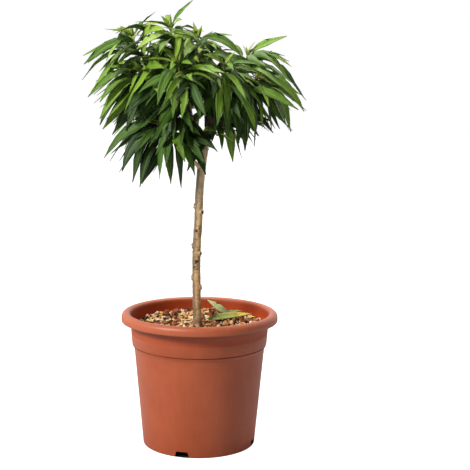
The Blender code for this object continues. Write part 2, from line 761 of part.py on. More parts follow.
class Crown:
    """The twigs and leaves grown so far, with the search trees that keep them clear of each other."""

    def __init__(self, lines, radii):
        self.lines = lines
        self.outline = crown_outline()
        self.wood = {name: search_tree(limb_body(name, lines, radii, CLEAR)) for name in lines}
        self.twigs = {name: [] for name in MASSES}
        self.leaves = {name: [] for name in MASSES}
        self.solids = {name: [] for name in MASSES}
        self.outers = {name: [] for name in MASSES}

    def free(self, name, tree):
        """True if a piece of a mass touches no limb but its own stem, and nothing of another mass."""
        others = [found for other, found in self.wood.items() if other != name]
        for other in MASSES:
            if other != name:
                others += self.solids[other]
        return not any(touch(tree, other) for other in others)

    def grow_twigs(self, name, numbers):
        """Side twigs of a mass, each turned on until it is free."""
        grown = []
        for number in numbers:
            for attempt in range(TRIES):
                line = grow_twig(name, number, self.lines[name], attempt)
                tree = search_tree(twig_body(line, CLEAR))
                if self.free(name, tree):
                    grown.append(line)
                    self.twigs[name].append(line)
                    self.solids[name].append(tree)
                    break
        return grown

    def grow_leaf(self, slot, strict):
        """The leaf of a slot, turned on until it is inside the crown, clear of its mass's own and free."""
        name = slot["name"]
        for attempt in range(TRIES):
            leaf = leaf_in_slot(slot, attempt)
            if "tip" not in slot and not inside_crown(leaf, self.outline):
                continue
            outer = search_tree(leaf_body(leaf, OUTER_STATIONS, CLEAR))
            if attempt < strict and any(touch(outer, other) for other in self.outers[name]):
                continue
            tree = search_tree(leaf_body(leaf, clear=CLEAR))
            if self.free(name, tree):
                self.leaves[name].append(leaf)
                self.solids[name].append(tree)
                self.outers[name].append(outer)
                return

    def grow_leaves(self, slots, strict):
        """Leaves in turns, one of each mass at a time, so that no mass takes all the room."""
        for turn in range(max(len(found) for found in slots.values())):
            for name in MASSES:
                if turn < len(slots[name]):
                    self.grow_leaf(slots[name][turn], strict)


def grow_crown(lines, radii):
    """The whole crown: twigs first, then the aimed leaves, the stems' and the twigs'."""
    crown = Crown(lines, radii)
    slots = {}
    for name, (_, _, _, count, twig_count, _) in MASSES.items():
        stem = lines[name]
        twigs = crown.grow_twigs(name, range(twig_count))
        slots[name] = aimed_slots(name, stem) + spiral_slots(name, "stem", stem, count, BARE_SHARE, 1.0)
        for number, line in enumerate(twigs):
            leafy = spiral_slots(name, f"twig {number}", line, TWIG_LEAVES, TWIG_BARE_SHARE, TWIG_LEAF)
            slots[name] += leafy
    crown.grow_leaves(slots, STRICT_TRIES)
    return crown


def make_mass(name, lines, radii, twigs, leaves, earlier):
    """A stem with its twigs and leaves in one body.

    Where they meet so nearly that the join touches itself, their corners are moved by a hair.
    """
    for attempt in range(JOIN_TRIES):
        rng = random.Random(f"{name} join {attempt}")
        mass = as_object(name, limb_body(name, lines, radii), "leaf", smooth=False)
        parts = [as_object("twig", twig_body(line), "leaf", smooth=False) for line in twigs]
        parts += [as_object("blade", leaf_body(leaf), "leaf", smooth=False) for leaf in leaves]
        for thing in (mass, *parts):
            for corner in thing.data.vertices:
                corner.co += Vector([rng.uniform(-HAIR, HAIR) * attempt * MM for _ in range(3)])
        boolean(mass, parts, "UNION")
        seat_limb(mass, name, lines, radii, earlier)
        if is_sound(mass.data, 0):
            return
        bpy.data.objects.remove(mass, do_unlink=True)


def leaders_first(limbs):
    """Names of the limbs, with those that carry their parent on ahead of the side limbs."""
    return sorted(limbs, key=lambda name: limbs[name][1] != 1.0)


def main():
    clear_scene()
    make_pot()
    make_soil()
    make_trunk()
    lines, radii = grow_lines()
    done = ["trunk"]
    for name in leaders_first(BOUGHS):
        bough = as_object(name, limb_body(name, lines, radii), "bark")
        seat_limb(bough, name, lines, radii, done)
        done.append(name)
    crown = grow_crown(lines, radii)
    for name in leaders_first(MASSES):
        make_mass(name, lines, radii, crown.twigs[name], crown.leaves[name], done)
        done.append(name)


if __name__ == "__main__":
    main()
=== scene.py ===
"""Looks of the potted dwarf peach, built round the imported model.

Shapes are worked out in millimetres and become metres as each mesh is made.
"""

import json
import math
import random

import bmesh
import bpy
from mathutils import Euler, Matrix, Vector, noise
from mathutils.bvhtree import BVHTree

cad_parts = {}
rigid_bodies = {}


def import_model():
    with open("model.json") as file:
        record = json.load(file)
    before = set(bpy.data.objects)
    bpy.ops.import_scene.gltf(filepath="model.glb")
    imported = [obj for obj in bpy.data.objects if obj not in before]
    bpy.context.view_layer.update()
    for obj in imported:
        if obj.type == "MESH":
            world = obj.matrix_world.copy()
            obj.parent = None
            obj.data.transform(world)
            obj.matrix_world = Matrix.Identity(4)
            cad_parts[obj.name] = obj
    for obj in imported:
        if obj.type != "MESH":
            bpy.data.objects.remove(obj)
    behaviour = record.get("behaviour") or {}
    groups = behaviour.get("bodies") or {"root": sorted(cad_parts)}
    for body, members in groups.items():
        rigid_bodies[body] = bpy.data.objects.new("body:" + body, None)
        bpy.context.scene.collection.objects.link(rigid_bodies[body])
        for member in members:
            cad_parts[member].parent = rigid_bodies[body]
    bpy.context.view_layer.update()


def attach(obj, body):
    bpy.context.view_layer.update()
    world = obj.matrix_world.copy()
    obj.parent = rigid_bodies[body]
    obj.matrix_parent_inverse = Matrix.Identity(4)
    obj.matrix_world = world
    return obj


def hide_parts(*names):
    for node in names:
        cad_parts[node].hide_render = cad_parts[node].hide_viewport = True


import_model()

MM = 0.001
GAP = 0.3  # clearance between pieces that touch
UP = Vector((0, 0, 1))

# Pot: a turned shell with a rolled lip, a wider collar under it and four drain notches in its foot
POT_HEIGHT = 222.0
LIP_RADIUS = 130.0
LIP_DEPTH = 15.0
LIP_WIDTH = 16.0
LIP_WALL = 3.0
WALL = 2.6
COLLAR_TOP_RADIUS = 115.2
COLLAR_FOOT_RADIUS = 112.3
COLLAR_FOOT = 167.5
STEP_DROP = 5.5
BODY_TOP_RADIUS = 108.6
FOOT_RADIUS = 93.8
FOOT_RING_WIDTH = 3.6
FLOOR = 3.0
PAD_RADIUS = 66.0
CHANNEL_HEIGHT = 8.0
NOTCHES = 4
NOTCH_HEIGHT = 9.3
NOTCH_WIDTH = 25.5
NOTCH_TAPER = 0.76
FIRST_NOTCH = -107.0  # bearing in degrees, measured from +X towards +Y

# Soil: it fills the pot to a little under the lip and sinks towards the front
SOIL_LEVEL = 197.5
SOIL_SLOPE = 0.045
SOIL_LUMP = 1.3
SEAT_RADIUS = 24.0  # the soil is level this far round the trunk
SEAT_EASE = 12.0

# Trunk: bare, a little curved, with a root flare and the scars of cut side shoots
FOOT_PLACE = (-3.8, -1.5)
FORK_PLACE = (5.0, -12.0, 493.0)
FOOT_LEAN = -0.036
FORK_LEAN = 0.12
BOW = 1.7  # the trunk swings out this far to the right
BOW_HEIGHT = 375.0
BOW_SPREAD = 34.0
TRUNK_RADIUS = 7.1
TRUNK_TIP_RADIUS = 6.7
FLARE = 1.8
FLARE_HEIGHT = 9.0
FORK_SWELL = 1.1  # extra radius under the fork
FORK_SWELL_HEIGHT = 30.0
TRUNK_SIDES = 12
# Height above the soil and bearing of each scar, and how dark and deep its core is
KNOTS = (
    (209, 188, 1.0), (200, 320, 0.9), (169, 257, 0.85), (142, 190, 0.8), (130, 328, 0.5),
    (117, 278, 1.0), (108, 250, 0.6), (89, 185, 1.0), (74, 345, 0.5),
)

# Boughs: parent, share of the parent's length they leave it at, tip, radius at foot and at tip
BOUGHS = {
    "bough_right": ("trunk", 1.0, (22, -16, 567), 6.8, 4.6),
    "bough_left": ("trunk", 0.985, (-27, -16, 567), 5.6, 4.0),
    "bough_low": ("trunk", 0.89, (-26, -30, 497), 3.4, 2.8),
    "bough_back": ("bough_right", 0.42, (8, 34, 567), 4.0, 3.1),
    "bough_left_outer": ("bough_left", 0.66, (-67, -12, 596), 3.7, 2.9),
    "bough_right_outer": ("bough_right", 0.72, (59, 0, 587), 3.7, 2.9),
}
BOUGH_SIDES = 8

# Masses of leaves: bough, share of it, shoot tip, leaves on the stem, side twigs, seed
MASSES = {
    "foliage_top": ("bough_left", 1.0, (-49, -10, 684), 14, 2, 1),
    "foliage_crown": ("bough_right", 1.0, (-7, -25, 665), 14, 2, 2),
    "foliage_left": ("bough_left_outer", 1.0, (-110, -10, 670), 14, 2, 5),
    "foliage_right_high": ("bough_right_outer", 1.0, (75, 28, 644), 11, 2, 7),
    "foliage_low": ("bough_low", 1.0, (-60, -52, 528), 10, 1, 9),
    "foliage_back_top": ("bough_back", 1.0, (-20, 60, 656), 13, 2, 11),
    "foliage_front": ("bough_left", 0.80, (-35, -72, 622), 13, 2, 3),
    "foliage_right": ("bough_right", 0.86, (35, -55, 623), 12, 2, 4),
    "foliage_left_low": ("bough_left_outer", 0.76, (-93, -50, 612), 13, 1, 6),
    "foliage_right_low": ("bough_right_outer", 0.78, (85, -28, 604), 10, 2, 8),
    "foliage_middle": ("bough_left", 0.42, (-18, -52, 575), 9, 1, 10),
    "foliage_fork": ("bough_right", 0.25, (32, -46, 546), 5, 0, 15),
    "foliage_back_left": ("bough_left_outer", 0.45, (-81, 52, 628), 13, 2, 12),
    "foliage_back_right": ("bough_right_outer", 0.50, (51, 74, 613), 12, 2, 13),
    "foliage_back_low": ("bough_back", 0.62, (-3, 84, 575), 13, 2, 14),
}
STEM_RADIUS = 2.5
STEM_TIP_RADIUS = 1.5
STEM_SIDES = 4
TWIG_RADIUS = 1.9
TWIG_TIP_RADIUS = 1.3
TWIG_SIDES = 3
TWIG_LENGTH = (26.0, 44.0)
TWIG_LEAVES = 4
TWIG_LEAF = 0.86  # size of a twig's leaves against a stem's
BARE_SHARE = 0.42  # the foot of a stem that has lost its leaves
TWIG_BARE_SHARE = 0.35
SPIRAL = math.radians(137.5)

# The furthest leaf tips of each mass, which give the crown its outline from the front
OUTER_TIPS = {
    "foliage_top": ((-14, 0, 730), (-62, -10, 703), (-100, -20, 691), (11, 0, 672)),
    "foliage_crown": ((66, -30, 638), (18, 20, 682)),
    "foliage_left": ((-144, 0, 679), (-181, -15, 628), (-192, 15, 640)),
    "foliage_left_low": ((-178, -45, 574), (-158, -60, 566), (-160, -40, 530), (-136, -50, 508)),
    "foliage_right": ((45, -20, 671),),
    "foliage_right_high": ((141, 40, 677), (144, 20, 635), (146, 10, 595), (117, 50, 653)),
    "foliage_right_low": ((166, -20, 554), (143, -40, 522), (112, -50, 524), (84, -60, 499), (71, -30, 491)),
    "foliage_low": (
        (-153, -50, 478), (-146, -20, 472), (-123, -70, 459), (-108, -50, 440), (-96, -60, 433),
        (-64, -80, 448), (-47, -60, 439), (-31, -50, 431), (-9, -80, 454), (8, -60, 454), (26, -70, 491),
    ),
    "foliage_fork": ((51, -50, 474),),
}
# Tips of the large leaves that hang in front
FRONT_TIPS = {
    "foliage_top": ((-75, -75, 635), (-60, -95, 609)),
    "foliage_crown": ((46, -90, 578), (9, -85, 631)),
    "foliage_left": ((-124, -70, 627),),
    "foliage_left_low": ((-114, -75, 540),),
    "foliage_low": ((-53, -105, 469), (-24, -110, 477), (8, -105, 472), (24, -92, 495)),
    "foliage_front": ((-66, -120, 563), (-43, -115, 544), (-2, -110, 552)),
    "foliage_right": (
        (40, -100, 543), (78, -90, 563), (91, -60, 597), (28, -60, 509), (85, -85, 522), (42, -95, 514),
        (61, -100, 542),
    ),
    "foliage_right_low": ((109, -62, 573), (96, -65, 529), (73, -80, 513), (58, -65, 499)),
    "foliage_fork": ((17, -60, 504), (33, -75, 494), (28, -75, 514)),
}
# Where sky shows through the crown from the front: across, up, radius
SKY_GAPS = ((-85, 584, 3), (1, 582, 4), (-13, 549, 7), (3, 536, 8))
CROWN_CENTRE = (-14.0, 576.0)
CROWN_DEPTH = 138.0
OUTLINE_EASE = 1.05

# Leaves: long and narrow, folded along the midrib, arching over and hanging
LEAF_LENGTH = 100.0
LEAF_SHAPE = 0.200  # greatest width as a share of the length
LEAF_THICKNESS = 0.013
LEAF_FOLD = 0.34
LEAF_STEPS = 12
LEAF_STATIONS = (0, 5, 9, 12)
SHORT_STATIONS = (0, 6, 12)
LONG_LEAF = 80.0
OUTER_STATIONS = (3, 5, 8, 12)
PETIOLE = 0.09
WIDEST = (0.74, 1.12)  # powers that set where the blade is widest and how it runs out
ARCH = 1.45  # how far a hanging leaf turns from foot to tip, in radians
AIMED_ARCH = 1.3
FALL = (0.80, 1.25)  # how steeply the outer half of a leaf may hang, in radians
TWIST = 0.85  # how far a leaf can turn its face out of the crown, in radians
TO_FRONT = 0.3
CLEAR = 0.5  # extra half width and thickness of a leaf in the touch test
TRIES = 12
STRICT_TRIES = 8  # tries in which a leaf may not cross the others of its own mass

# Finer sizes that only the looks need
POT_TURN = 160
POT_ANGLE = 50  # edges of the pot that are sharper than this stay sharp
GROOVE = 2.5  # depth of the line round the foot of the collar
SOIL_TURN = 96
BED_RINGS = 26
BED_DEPTH = 30
BED_SINK = 2.6  # the bed lies this far under the soil's level, and the grit fills it up
LIMB_SIDES = 20
TRUNK_STEPS = 90
BOUGH_STEPS = 26
TRUNK_SINK = 4.5  # the trunk's skin runs this far down among the grit
BARK_VOXEL = 0.75
BARK_SMOOTHING = 5
SCAR_RADIUS = 3.6  # of the swelling round each scar
SCAR_STAND = 0.9  # a scar's middle stands this far out of the trunk
SCAR_REACH = 7
SCAR_RING = 3.4
GREY_SIDE_WAY = Vector((-0.98, -0.2, 0))  # the bark is greyer and darker on this side
SHOOT_STEPS = 16
SHOOT_SIDES = 8
SHOOT_SLIM = 0.85  # the shoots are slimmer than their solids
LEAF_BLADE_STEPS = (0, 1, 2, 4, 6, 8, 10, 11, 12)
# Corners across a blade: from -1 to 1 as shares of its half width, and from 0 to 1 in its pattern
LEAF_CORNERS = ((-1.0, 0.0), (-0.52, 0.25), (0.0, 0.5), (0.52, 0.75), (1.0, 1.0))
BLADE_THICKNESS = 0.45
STALK_WIDTH = 0.35
LEAF_WAVE = 0.55
LEAF_SWAY = 0.07  # a leaf's tip swings aside by up to this share of its length
LEAF_DROOP = 0.06  # and up or down
LEAF_SWEEP = 0.13  # and sideways, away from the trunk's line
MORE_TWIGS = 3  # finer twigs of each mass, past those of the solids
FINE_LEAVES = 6
FINE_LEAF = 0.8
MORE_LEAVES = 11  # more leaves on each stem
MORE_LEAF = 0.92
YOUNG_LEAVES = 5  # small upright leaves at each shoot's tip
YOUNG_LENGTH = 48
YOUNG_SPAN = (15, 34)
# Painted light: from this height up, over this depth, up to this share more of the leaves are light ones, as
# if lit from above
SUN_LEVEL = 560
SUN_DEPTH = 110
SUN_SHARE = 0.7
# Hollows between the bunches of leaves whose leaves are dealt the dark kinds as painted shade: middle, to
# the right and up, and reach both ways
HOLLOWS = (((-55, 548), (48, 30)), ((2, 572), (24, 26)), ((-88, 508), (42, 22)), ((52, 548), (60, 22)))
HOLLOW_DARK = 0.8

# The soil's dressing: darker tone, lighter tone and share of each colour of grit, and 1 for a
# colour that gathers in the pale patches or -1 for one that gathers in the dark patches
GRIT = {
    "cream": ((0.54, 0.33, 0.20), (0.86, 0.63, 0.42), 0.26, 1),
    "tan": ((0.38, 0.18, 0.07), (0.70, 0.42, 0.19), 0.27, 1),
    "orange": ((0.44, 0.18, 0.04), (0.74, 0.48, 0.16), 0.14, 0),
    "brown": ((0.17, 0.036, 0.014), (0.36, 0.115, 0.048), 0.22, -1),
    "dark": ((0.028, 0.011, 0.006), (0.08, 0.034, 0.018), 0.11, -1),
}
GRIT_PATCHES = 0.045
GRIT_CONTRAST = 1.6
GRIT_COUNT = 1500
GRIT_SIZE = (1.6, 7.2)  # radii of the least and the largest crumb
FINE_CRUMB = 2.2  # crumbs under this radius have fewer faces
CHIP_COUNT = 230
CHIP_SIZE = (3.0, 7.0)
CHIP_COLOURS = ((0.018, 0.010, 0.006), (0.11, 0.055, 0.026))
CHIP_SEED = 1  # keeps the chips' dents the same each time
SCRAP_COUNT = 46
SCRAP_SIZE = (5.0, 11.0)
SCATTER_TRIES = 14
CELL = 10  # side of the squares in which a grain looks for its neighbours
# Dry leaves on the grit: kind, foot, tip, hump, size of the blade against its length, way it faces
FALLEN = (
    ("pale", (55, 41, 204), (13, 84, 224), 3, 0.9, (-0.2, -1.0, 0.5)),
    ("yellow", (6, 15, 204), (88, 36, 210), 2, 0.75, (0.1, -0.9, 0.8)),
    ("pale", (40, 62, 204), (74, 68, 208), 3, 0.8, (0.2, -0.8, 0.9)),
    ("yellow", (78, 32, 203), (94, 18, 208), 2, 0.8, (-0.3, -0.6, 1.0)),
)

# The camera and the studio
LENS = 78.97
SENSOR = 36
CAMERA_PLACE = (0.0, -1.689, 0.5794)
CAMERA_PITCH = 7.726
CAMERA_YAW = 1.947
CAMERA_ROLL = 0.646
# Place, what it points at, width in metres and power
LIGHTS = {
    "key": ((-2.50, -2.10, 2.60), (0, 0, 0.42), 1.3, 198),
    "top": ((0.2, 0.5, 2.7), (0, 0, 0.42), 1.3, 42),
}
SURROUND_FRONT = 0.09
SURROUND_BACK = 1.12
FLOOR_SIZE = 14


def mix(a, b, share):
    return a + (b - a) * share


def bearing_way(degrees):
    """The level direction at a bearing."""
    return Vector((math.cos(math.radians(degrees)), math.sin(math.radians(degrees)), 0))


def loft_rings(bm, rings):
    """Makes a closed body through rings of corners in bm, and gives the corners of each ring in order."""
    placed = [[bm.verts.new(place) for place in rings[0]]]
    face = bm.faces.new(placed[0])
    for number, ring in enumerate(rings[1:]):
        grown = bmesh.ops.extrude_face_region(bm, geom=[face], use_keep_orig=True)["geom"]
        new = {part for part in grown if isinstance(part, bmesh.types.BMVert)}
        corners = [
            next(edge.other_vert(corner) for edge in corner.link_edges if edge.other_vert(corner) in new)
            for corner in placed[-1]
        ]
        if number > 0:
            bmesh.ops.delete(bm, geom=[face], context="FACES_ONLY")
        face = next(part for part in grown if isinstance(part, bmesh.types.BMFace))
        for corner, place in zip(corners, ring):
            corner.co = place
        placed.append(corners)
    return placed


def loft(rings, tip=None):
    """A closed body that runs through rings of corners, and ends in a point where a tip is given."""
    bm = bmesh.new()
    end = [] if tip is None else [[tip] * len(rings[0])]
    placed = loft_rings(bm, [*rings, *end])
    if tip is not None:
        bmesh.ops.pointmerge(bm, verts=placed[-1], merge_co=tip)
    split_outwards(bm)
    return bm


def split_outwards(bm):
    """Cuts each four-sided face along the diagonal that bulges, so a thin body can't cross itself."""
    bmesh.ops.recalc_face_normals(bm, faces=bm.faces)
    for face in [face for face in bm.faces if len(face.verts) == 4]:
        a, b, c, d = face.verts
        sunk = (b.co - a.co).cross(c.co - a.co).dot(d.co - a.co) > 0
        bmesh.utils.face_split(face, *((b, d) if sunk else (a, c)))


def turned(profile, sides):
    """A body turned about Z from a profile of radius and height that starts and ends on the axis."""
    bm = bmesh.new()
    corners = [bm.verts.new((radius, 0, height)) for radius, height in profile]
    edges = [bm.edges.new(pair) for pair in zip(corners, corners[1:])]
    bmesh.ops.spin(
        bm, geom=[*corners, *edges], axis=(0, 0, 1), cent=(0, 0, 0), steps=sides,
        angle=math.tau, use_merge=True,
    )
    bmesh.ops.remove_doubles(bm, verts=bm.verts, dist=0.001)
    return bm


def arc(centre, radii, first, last, steps):
    """Points of an elliptical arc in the profile plane, by angle in degrees."""
    angles = [math.radians(mix(first, last, step / steps)) for step in range(steps + 1)]
    return [(centre[0] + radii[0] * math.cos(a), centre[1] + radii[1] * math.sin(a)) for a in angles]


def body_radius(height):
    """Outer radius of the pot's body, which is straight from foot to collar."""
    return mix(FOOT_RADIUS, BODY_TOP_RADIUS, height / (COLLAR_FOOT - STEP_DROP))


def inner_radius(height):
    """Radius of the pot's inner wall."""
    if height < COLLAR_FOOT:
        return body_radius(height) - WALL
    share = (height - COLLAR_FOOT) / (POT_HEIGHT - LIP_DEPTH - COLLAR_FOOT)
    return mix(body_radius(COLLAR_FOOT), COLLAR_TOP_RADIUS, share) - WALL


def soil_height(x, y):
    """Height of the soil at a place. It is level where the trunk stands."""
    lumps = math.sin(x / 15 + 1) * math.cos(y / 13) + 0.6 * math.sin((x + y) / 8)
    level = SOIL_LEVEL + SOIL_SLOPE * FOOT_PLACE[1]
    return mix(level, SOIL_LEVEL + SOIL_SLOPE * y + SOIL_LUMP * lumps, off_seat(x, y))


def off_seat(x, y):
    """0 on the trunk's level seat, 1 well away from it."""
    away = math.hypot(x - FOOT_PLACE[0], y - FOOT_PLACE[1])
    return min(1, max(0, (away - SEAT_RADIUS) / SEAT_EASE))


def bend(start, start_way, end, end_way, steps, pull=0.38, collar=0.0):
    """Points of a smooth curve between two places, leaving and arriving in the given directions.

    A collar is a short straight length at the start, so that the first cut is square.
    """
    places = [start] if collar else []
    start = start + start_way * collar
    reach = (end - start).length * pull
    first, second = start + start_way * reach, end - end_way * reach
    for step in range(steps + 1):
        t = step / steps
        u = 1 - t
        places.append(u**3 * start + 3 * u * u * t * first + 3 * u * t * t * second + t**3 * end)
    return places


def ways(points):
    """The direction of a line of points at each of them."""
    last = len(points) - 1
    return [(points[min(i + 1, last)] - points[max(i - 1, 0)]).normalized() for i in range(last + 1)]


def along(line, share):
    """Place and direction at a share of a line's length."""
    spot = share * (len(line) - 1)
    low = min(int(spot), len(line) - 2)
    return line[low].lerp(line[low + 1], spot - low), ways(line)[min(round(spot), len(line) - 1)]


def level_side(way):
    """A level direction square to a direction."""
    side = way.cross(UP)
    return side.normalized() if side.length > 0.05 else Vector((1, 0, 0))


def carried(vector, way):
    """A vector turned as little as needed to be square to a direction."""
    return (vector - way * vector.dot(way)).normalized()


def tube_rings(line, radii, sides):
    """Rings of corners round a line of points, with a radius at each."""
    rings = []
    side = level_side(ways(line)[0])
    turns = [math.tau * k / sides for k in range(sides)]
    for place, way, radius in zip(line, ways(line), radii):
        side = carried(side, way)
        other = way.cross(side)
        rings.append([place + (side * math.cos(a) + other * math.sin(a)) * radius for a in turns])
    return rings


def tube(line, radii, sides):
    """A limb: a closed tube round a line of points."""
    return loft(tube_rings(line, radii, sides))


def taper(first, last, count):
    return [mix(first, last, step / (count - 1)) for step in range(count)]


def trunk_line():
    foot = Vector((*FOOT_PLACE, soil_height(*FOOT_PLACE) + GAP))
    foot_way, fork_way = Vector((FOOT_LEAN, 0, 1)), Vector((FORK_LEAN, 0, 1)).normalized()
    line = [foot, *bend(foot + UP * FLARE_HEIGHT * 0.6, foot_way, Vector(FORK_PLACE), fork_way, 13)]
    for place in line:
        place.x += BOW * math.exp(-(((place.z - BOW_HEIGHT) / BOW_SPREAD) ** 2))
    return line


def trunk_radii(line):
    foot = line[0].z
    whole = line[-1].z - foot
    return [
        mix(TRUNK_RADIUS, TRUNK_TIP_RADIUS, (place.z - foot) / whole)
        + FLARE * math.exp(-(place.z - foot) / FLARE_HEIGHT)
        + FORK_SWELL * math.exp(-(line[-1].z - place.z) / FORK_SWELL_HEIGHT)
        for place in line
    ]


def start_way(parent_line, share, place, tip, level):
    """A leader carries its parent's direction on, and a side limb leaves towards its tip."""
    if share == 1.0:
        return ways(parent_line)[-1]
    out = tip - place
    out.z = out.z * level
    return out.normalized().lerp(UP, 0.2).normalized()


def limb_line(lines, parent, share, tip, level, lift, steps):
    """The centre line of a bough or a stem."""
    place, way = along(lines[parent], share)
    tip = Vector(tip)
    away = start_way(lines[parent], share, place, tip, level)
    if share == 1.0:
        place = place + way * GAP
    end = (tip - place).normalized().lerp(UP, lift).normalized()
    return bend(place, away, tip, end, steps, collar=1.5)


def grow_lines():
    """Centre lines and radii of the trunk, the boughs and the stem of each mass."""
    lines = {"trunk": trunk_line()}
    radii = {"trunk": trunk_radii(lines["trunk"])}
    for name, (parent, share, tip, foot_radius, tip_radius) in BOUGHS.items():
        lines[name] = limb_line(lines, parent, share, tip, 0.9, 0.45, 6)
        radii[name] = taper(foot_radius, tip_radius, len(lines[name]))
    for name, (parent, share, tip, *_) in MASSES.items():
        lines[name] = limb_line(lines, parent, share, tip, 0.5, 0.55, 5)
        radii[name] = taper(STEM_RADIUS, STEM_TIP_RADIUS, len(lines[name]))
    return lines, radii


def sides_of(name):
    if name == "trunk":
        return TRUNK_SIDES
    return STEM_SIDES if name in MASSES else BOUGH_SIDES


def limb_body(name, lines, radii, clear=0.0):
    return tube(lines[name], [radius + clear for radius in radii[name]], sides_of(name))


def search_tree(bm):
    """A search tree of a bmesh, with its middle and its reach. The bmesh is freed."""
    tree = BVHTree.FromBMesh(bm)
    corners = [corner.co.copy() for corner in bm.verts]
    bm.free()
    middle = sum(corners, Vector()) / len(corners)
    return tree, middle, max((corner - middle).length for corner in corners)


def touch(one, other):
    return (one[1] - other[1]).length < one[2] + other[2] and bool(one[0].overlap(other[0]))


def leaf_line(root, heading, rise, arch, fall, length, sickle, roll):
    """The midrib of one leaf, with the side and face directions along it.

    Most of the arch is near the leaf's foot, and its outer half hangs nearly straight.
    """
    level = Vector((-math.sin(heading), math.cos(heading), 0))
    out = Vector((root.x - CROWN_CENTRE[0], root.y, 0)) / CROWN_DEPTH - Vector((0, TO_FRONT, 0))
    roll -= TWIST * max(-1, min(1, 2 * level.dot(out)))
    places, sides, faces = [root.copy()], [], []
    for half_step in range(2 * LEAF_STEPS + 1):
        share = half_step / (2 * LEAF_STEPS)
        climb = max(rise - arch * (1 - (1 - share) ** 2), -fall)
        turn = heading + sickle * (share - 0.5)
        way = Vector((math.cos(climb) * math.cos(turn), math.cos(climb) * math.sin(turn), math.sin(climb)))
        if half_step % 2:
            places.append(places[-1] + way * (length / LEAF_STEPS))
            continue
        side = Vector((-math.sin(turn), math.cos(turn), 0))
        face = way.cross(side)
        twist = roll * min(1, share * 4)
        sides.append(side * math.cos(twist) + face * math.sin(twist))
        faces.append(face * math.cos(twist) - side * math.sin(twist))
    return {"places": places, "sides": sides, "faces": faces, "length": length}


def aimed_leaf(root, tip, arch, sickle, roll):
    """A leaf from a root to a tip: an arch is bent, then turned and scaled to end at the tip."""
    chord = tip - root
    climb = math.asin(chord.z / chord.length)
    arch = arch * (0.3 if climb > 0.35 else 1.0)
    rise = min(climb + arch / 2, 1.2)
    leaf = leaf_line(root, math.atan2(chord.y, chord.x), rise, arch, 1.5, chord.length, sickle, roll)
    reached = leaf["places"][-1] - root
    turn = reached.rotation_difference(chord)
    scale = chord.length / reached.length
    leaf["places"] = [root + turn @ (place - root) * scale for place in leaf["places"]]
    leaf["sides"] = [turn @ side for side in leaf["sides"]]
    leaf["faces"] = [turn @ face for face in leaf["faces"]]
    leaf["length"] *= scale
    return leaf


def aim(way):
    """The heading of a direction and how far it rises, in radians."""
    return math.atan2(way.y, way.x), math.asin(max(-1, min(1, way.z)))


def spiral_leaf(place, axis, turn, age, size, rng):
    """A leaf of the spiral round a shoot.

    Age runs from 0 at the shoot's tip, where leaves are small and upright, to 1 at its foot.
    """
    out = Matrix.Rotation(turn + rng.uniform(-0.35, 0.35), 3, axis) @ level_side(axis)
    spread = math.radians(mix(30, 84, age**0.7) + rng.uniform(-12, 12))
    way = axis * math.cos(spread) + out * math.sin(spread)
    length = LEAF_LENGTH * size * mix(0.50, 1.0, min(1, age * 3.2)) * rng.uniform(0.84, 1.10)
    arch = mix(0.6, 1.0, age) * ARCH * rng.uniform(0.8, 1.3)
    return leaf_line(
        place, *aim(way), arch, rng.uniform(*FALL), length,
        rng.uniform(-0.5, 0.5), rng.uniform(-0.6, 0.6),
    )


def half_width(leaf, share):
    """Half the leaf's width at a share of its length."""
    stalk = leaf["length"] * 0.009
    blade = max(0, (share - PETIOLE) / (1 - PETIOLE))
    rise, fall = WIDEST
    peak = rise / (rise + fall)
    shape = blade**rise * (1 - blade) ** fall / (peak**rise * (1 - peak) ** fall)
    return max(stalk, leaf["length"] * LEAF_SHAPE / 2 * shape)


def leaf_body(leaf, stations=None, clear=0.0):
    """The leaf as a thin closed blade with its midrib as a keel. A short leaf has fewer faces."""
    rings = []
    stations = stations or (LEAF_STATIONS if leaf["length"] > LONG_LEAF else SHORT_STATIONS)
    for step in stations[:-1]:
        share = step / LEAF_STEPS
        place, side, face = leaf["places"][step], leaf["sides"][step], leaf["faces"][step]
        half = half_width(leaf, share) + clear
        thick = face * (leaf["length"] * LEAF_THICKNESS / 2 + clear)
        lift = face * (half * LEAF_FOLD * min(1, share * 3))
        rings.append([place + side * half + lift, place - side * half + lift, place - thick])
    return loft(rings, leaf["places"][-1])


def crown_outline():
    """Bearing in the front view and distance from the crown's centre of each outer tip, in order."""
    found = []
    for tips in OUTER_TIPS.values():
        for x, _, z in tips:
            across, up = x - CROWN_CENTRE[0], z - CROWN_CENTRE[1]
            found.append((math.atan2(up, across), math.hypot(across, up)))
    found.sort()
    first, last = found[0], found[-1]
    return [(last[0] - math.tau, last[1]), *found, (first[0] + math.tau, first[1])]


def inside_crown(leaf, outline):
    """True if the whole leaf is within the crown's outline and depth, and out of the gaps of sky."""
    for place in leaf["places"]:
        across, up = place.x - CROWN_CENTRE[0], place.z - CROWN_CENTRE[1]
        bearing = math.atan2(up, across)
        low, high = next(pair for pair in zip(outline, outline[1:]) if pair[0][0] <= bearing <= pair[1][0])
        share = (bearing - low[0]) / max(1e-9, high[0] - low[0])
        edge = mix(low[1], high[1], share) * OUTLINE_EASE
        if (math.hypot(across, up) / edge) ** 2 + (place.y / CROWN_DEPTH) ** 2 > 1:
            return False
        if any(math.hypot(place.x - x, place.z - z) < radius for x, z, radius in SKY_GAPS):
            return False
    return True


def grow_twig(name, number, stem, attempt):
    """A side twig of a mass by the seeded rule."""
    rng = random.Random(f"twig {name} {number} {MASSES[name][5]}")
    place, way = along(stem, mix(0.55, 0.80, rng.random()))
    turn = rng.uniform(0, math.tau) + SPIRAL * 2 * number + attempt * 0.9
    out = Matrix.Rotation(turn, 3, way) @ level_side(way)
    away = (way * 0.5 + out).normalized()
    tip = place + away * rng.uniform(*TWIG_LENGTH)
    tip.z += 6
    return bend(place, away, tip, away.lerp(UP, 0.4).normalized(), 3)


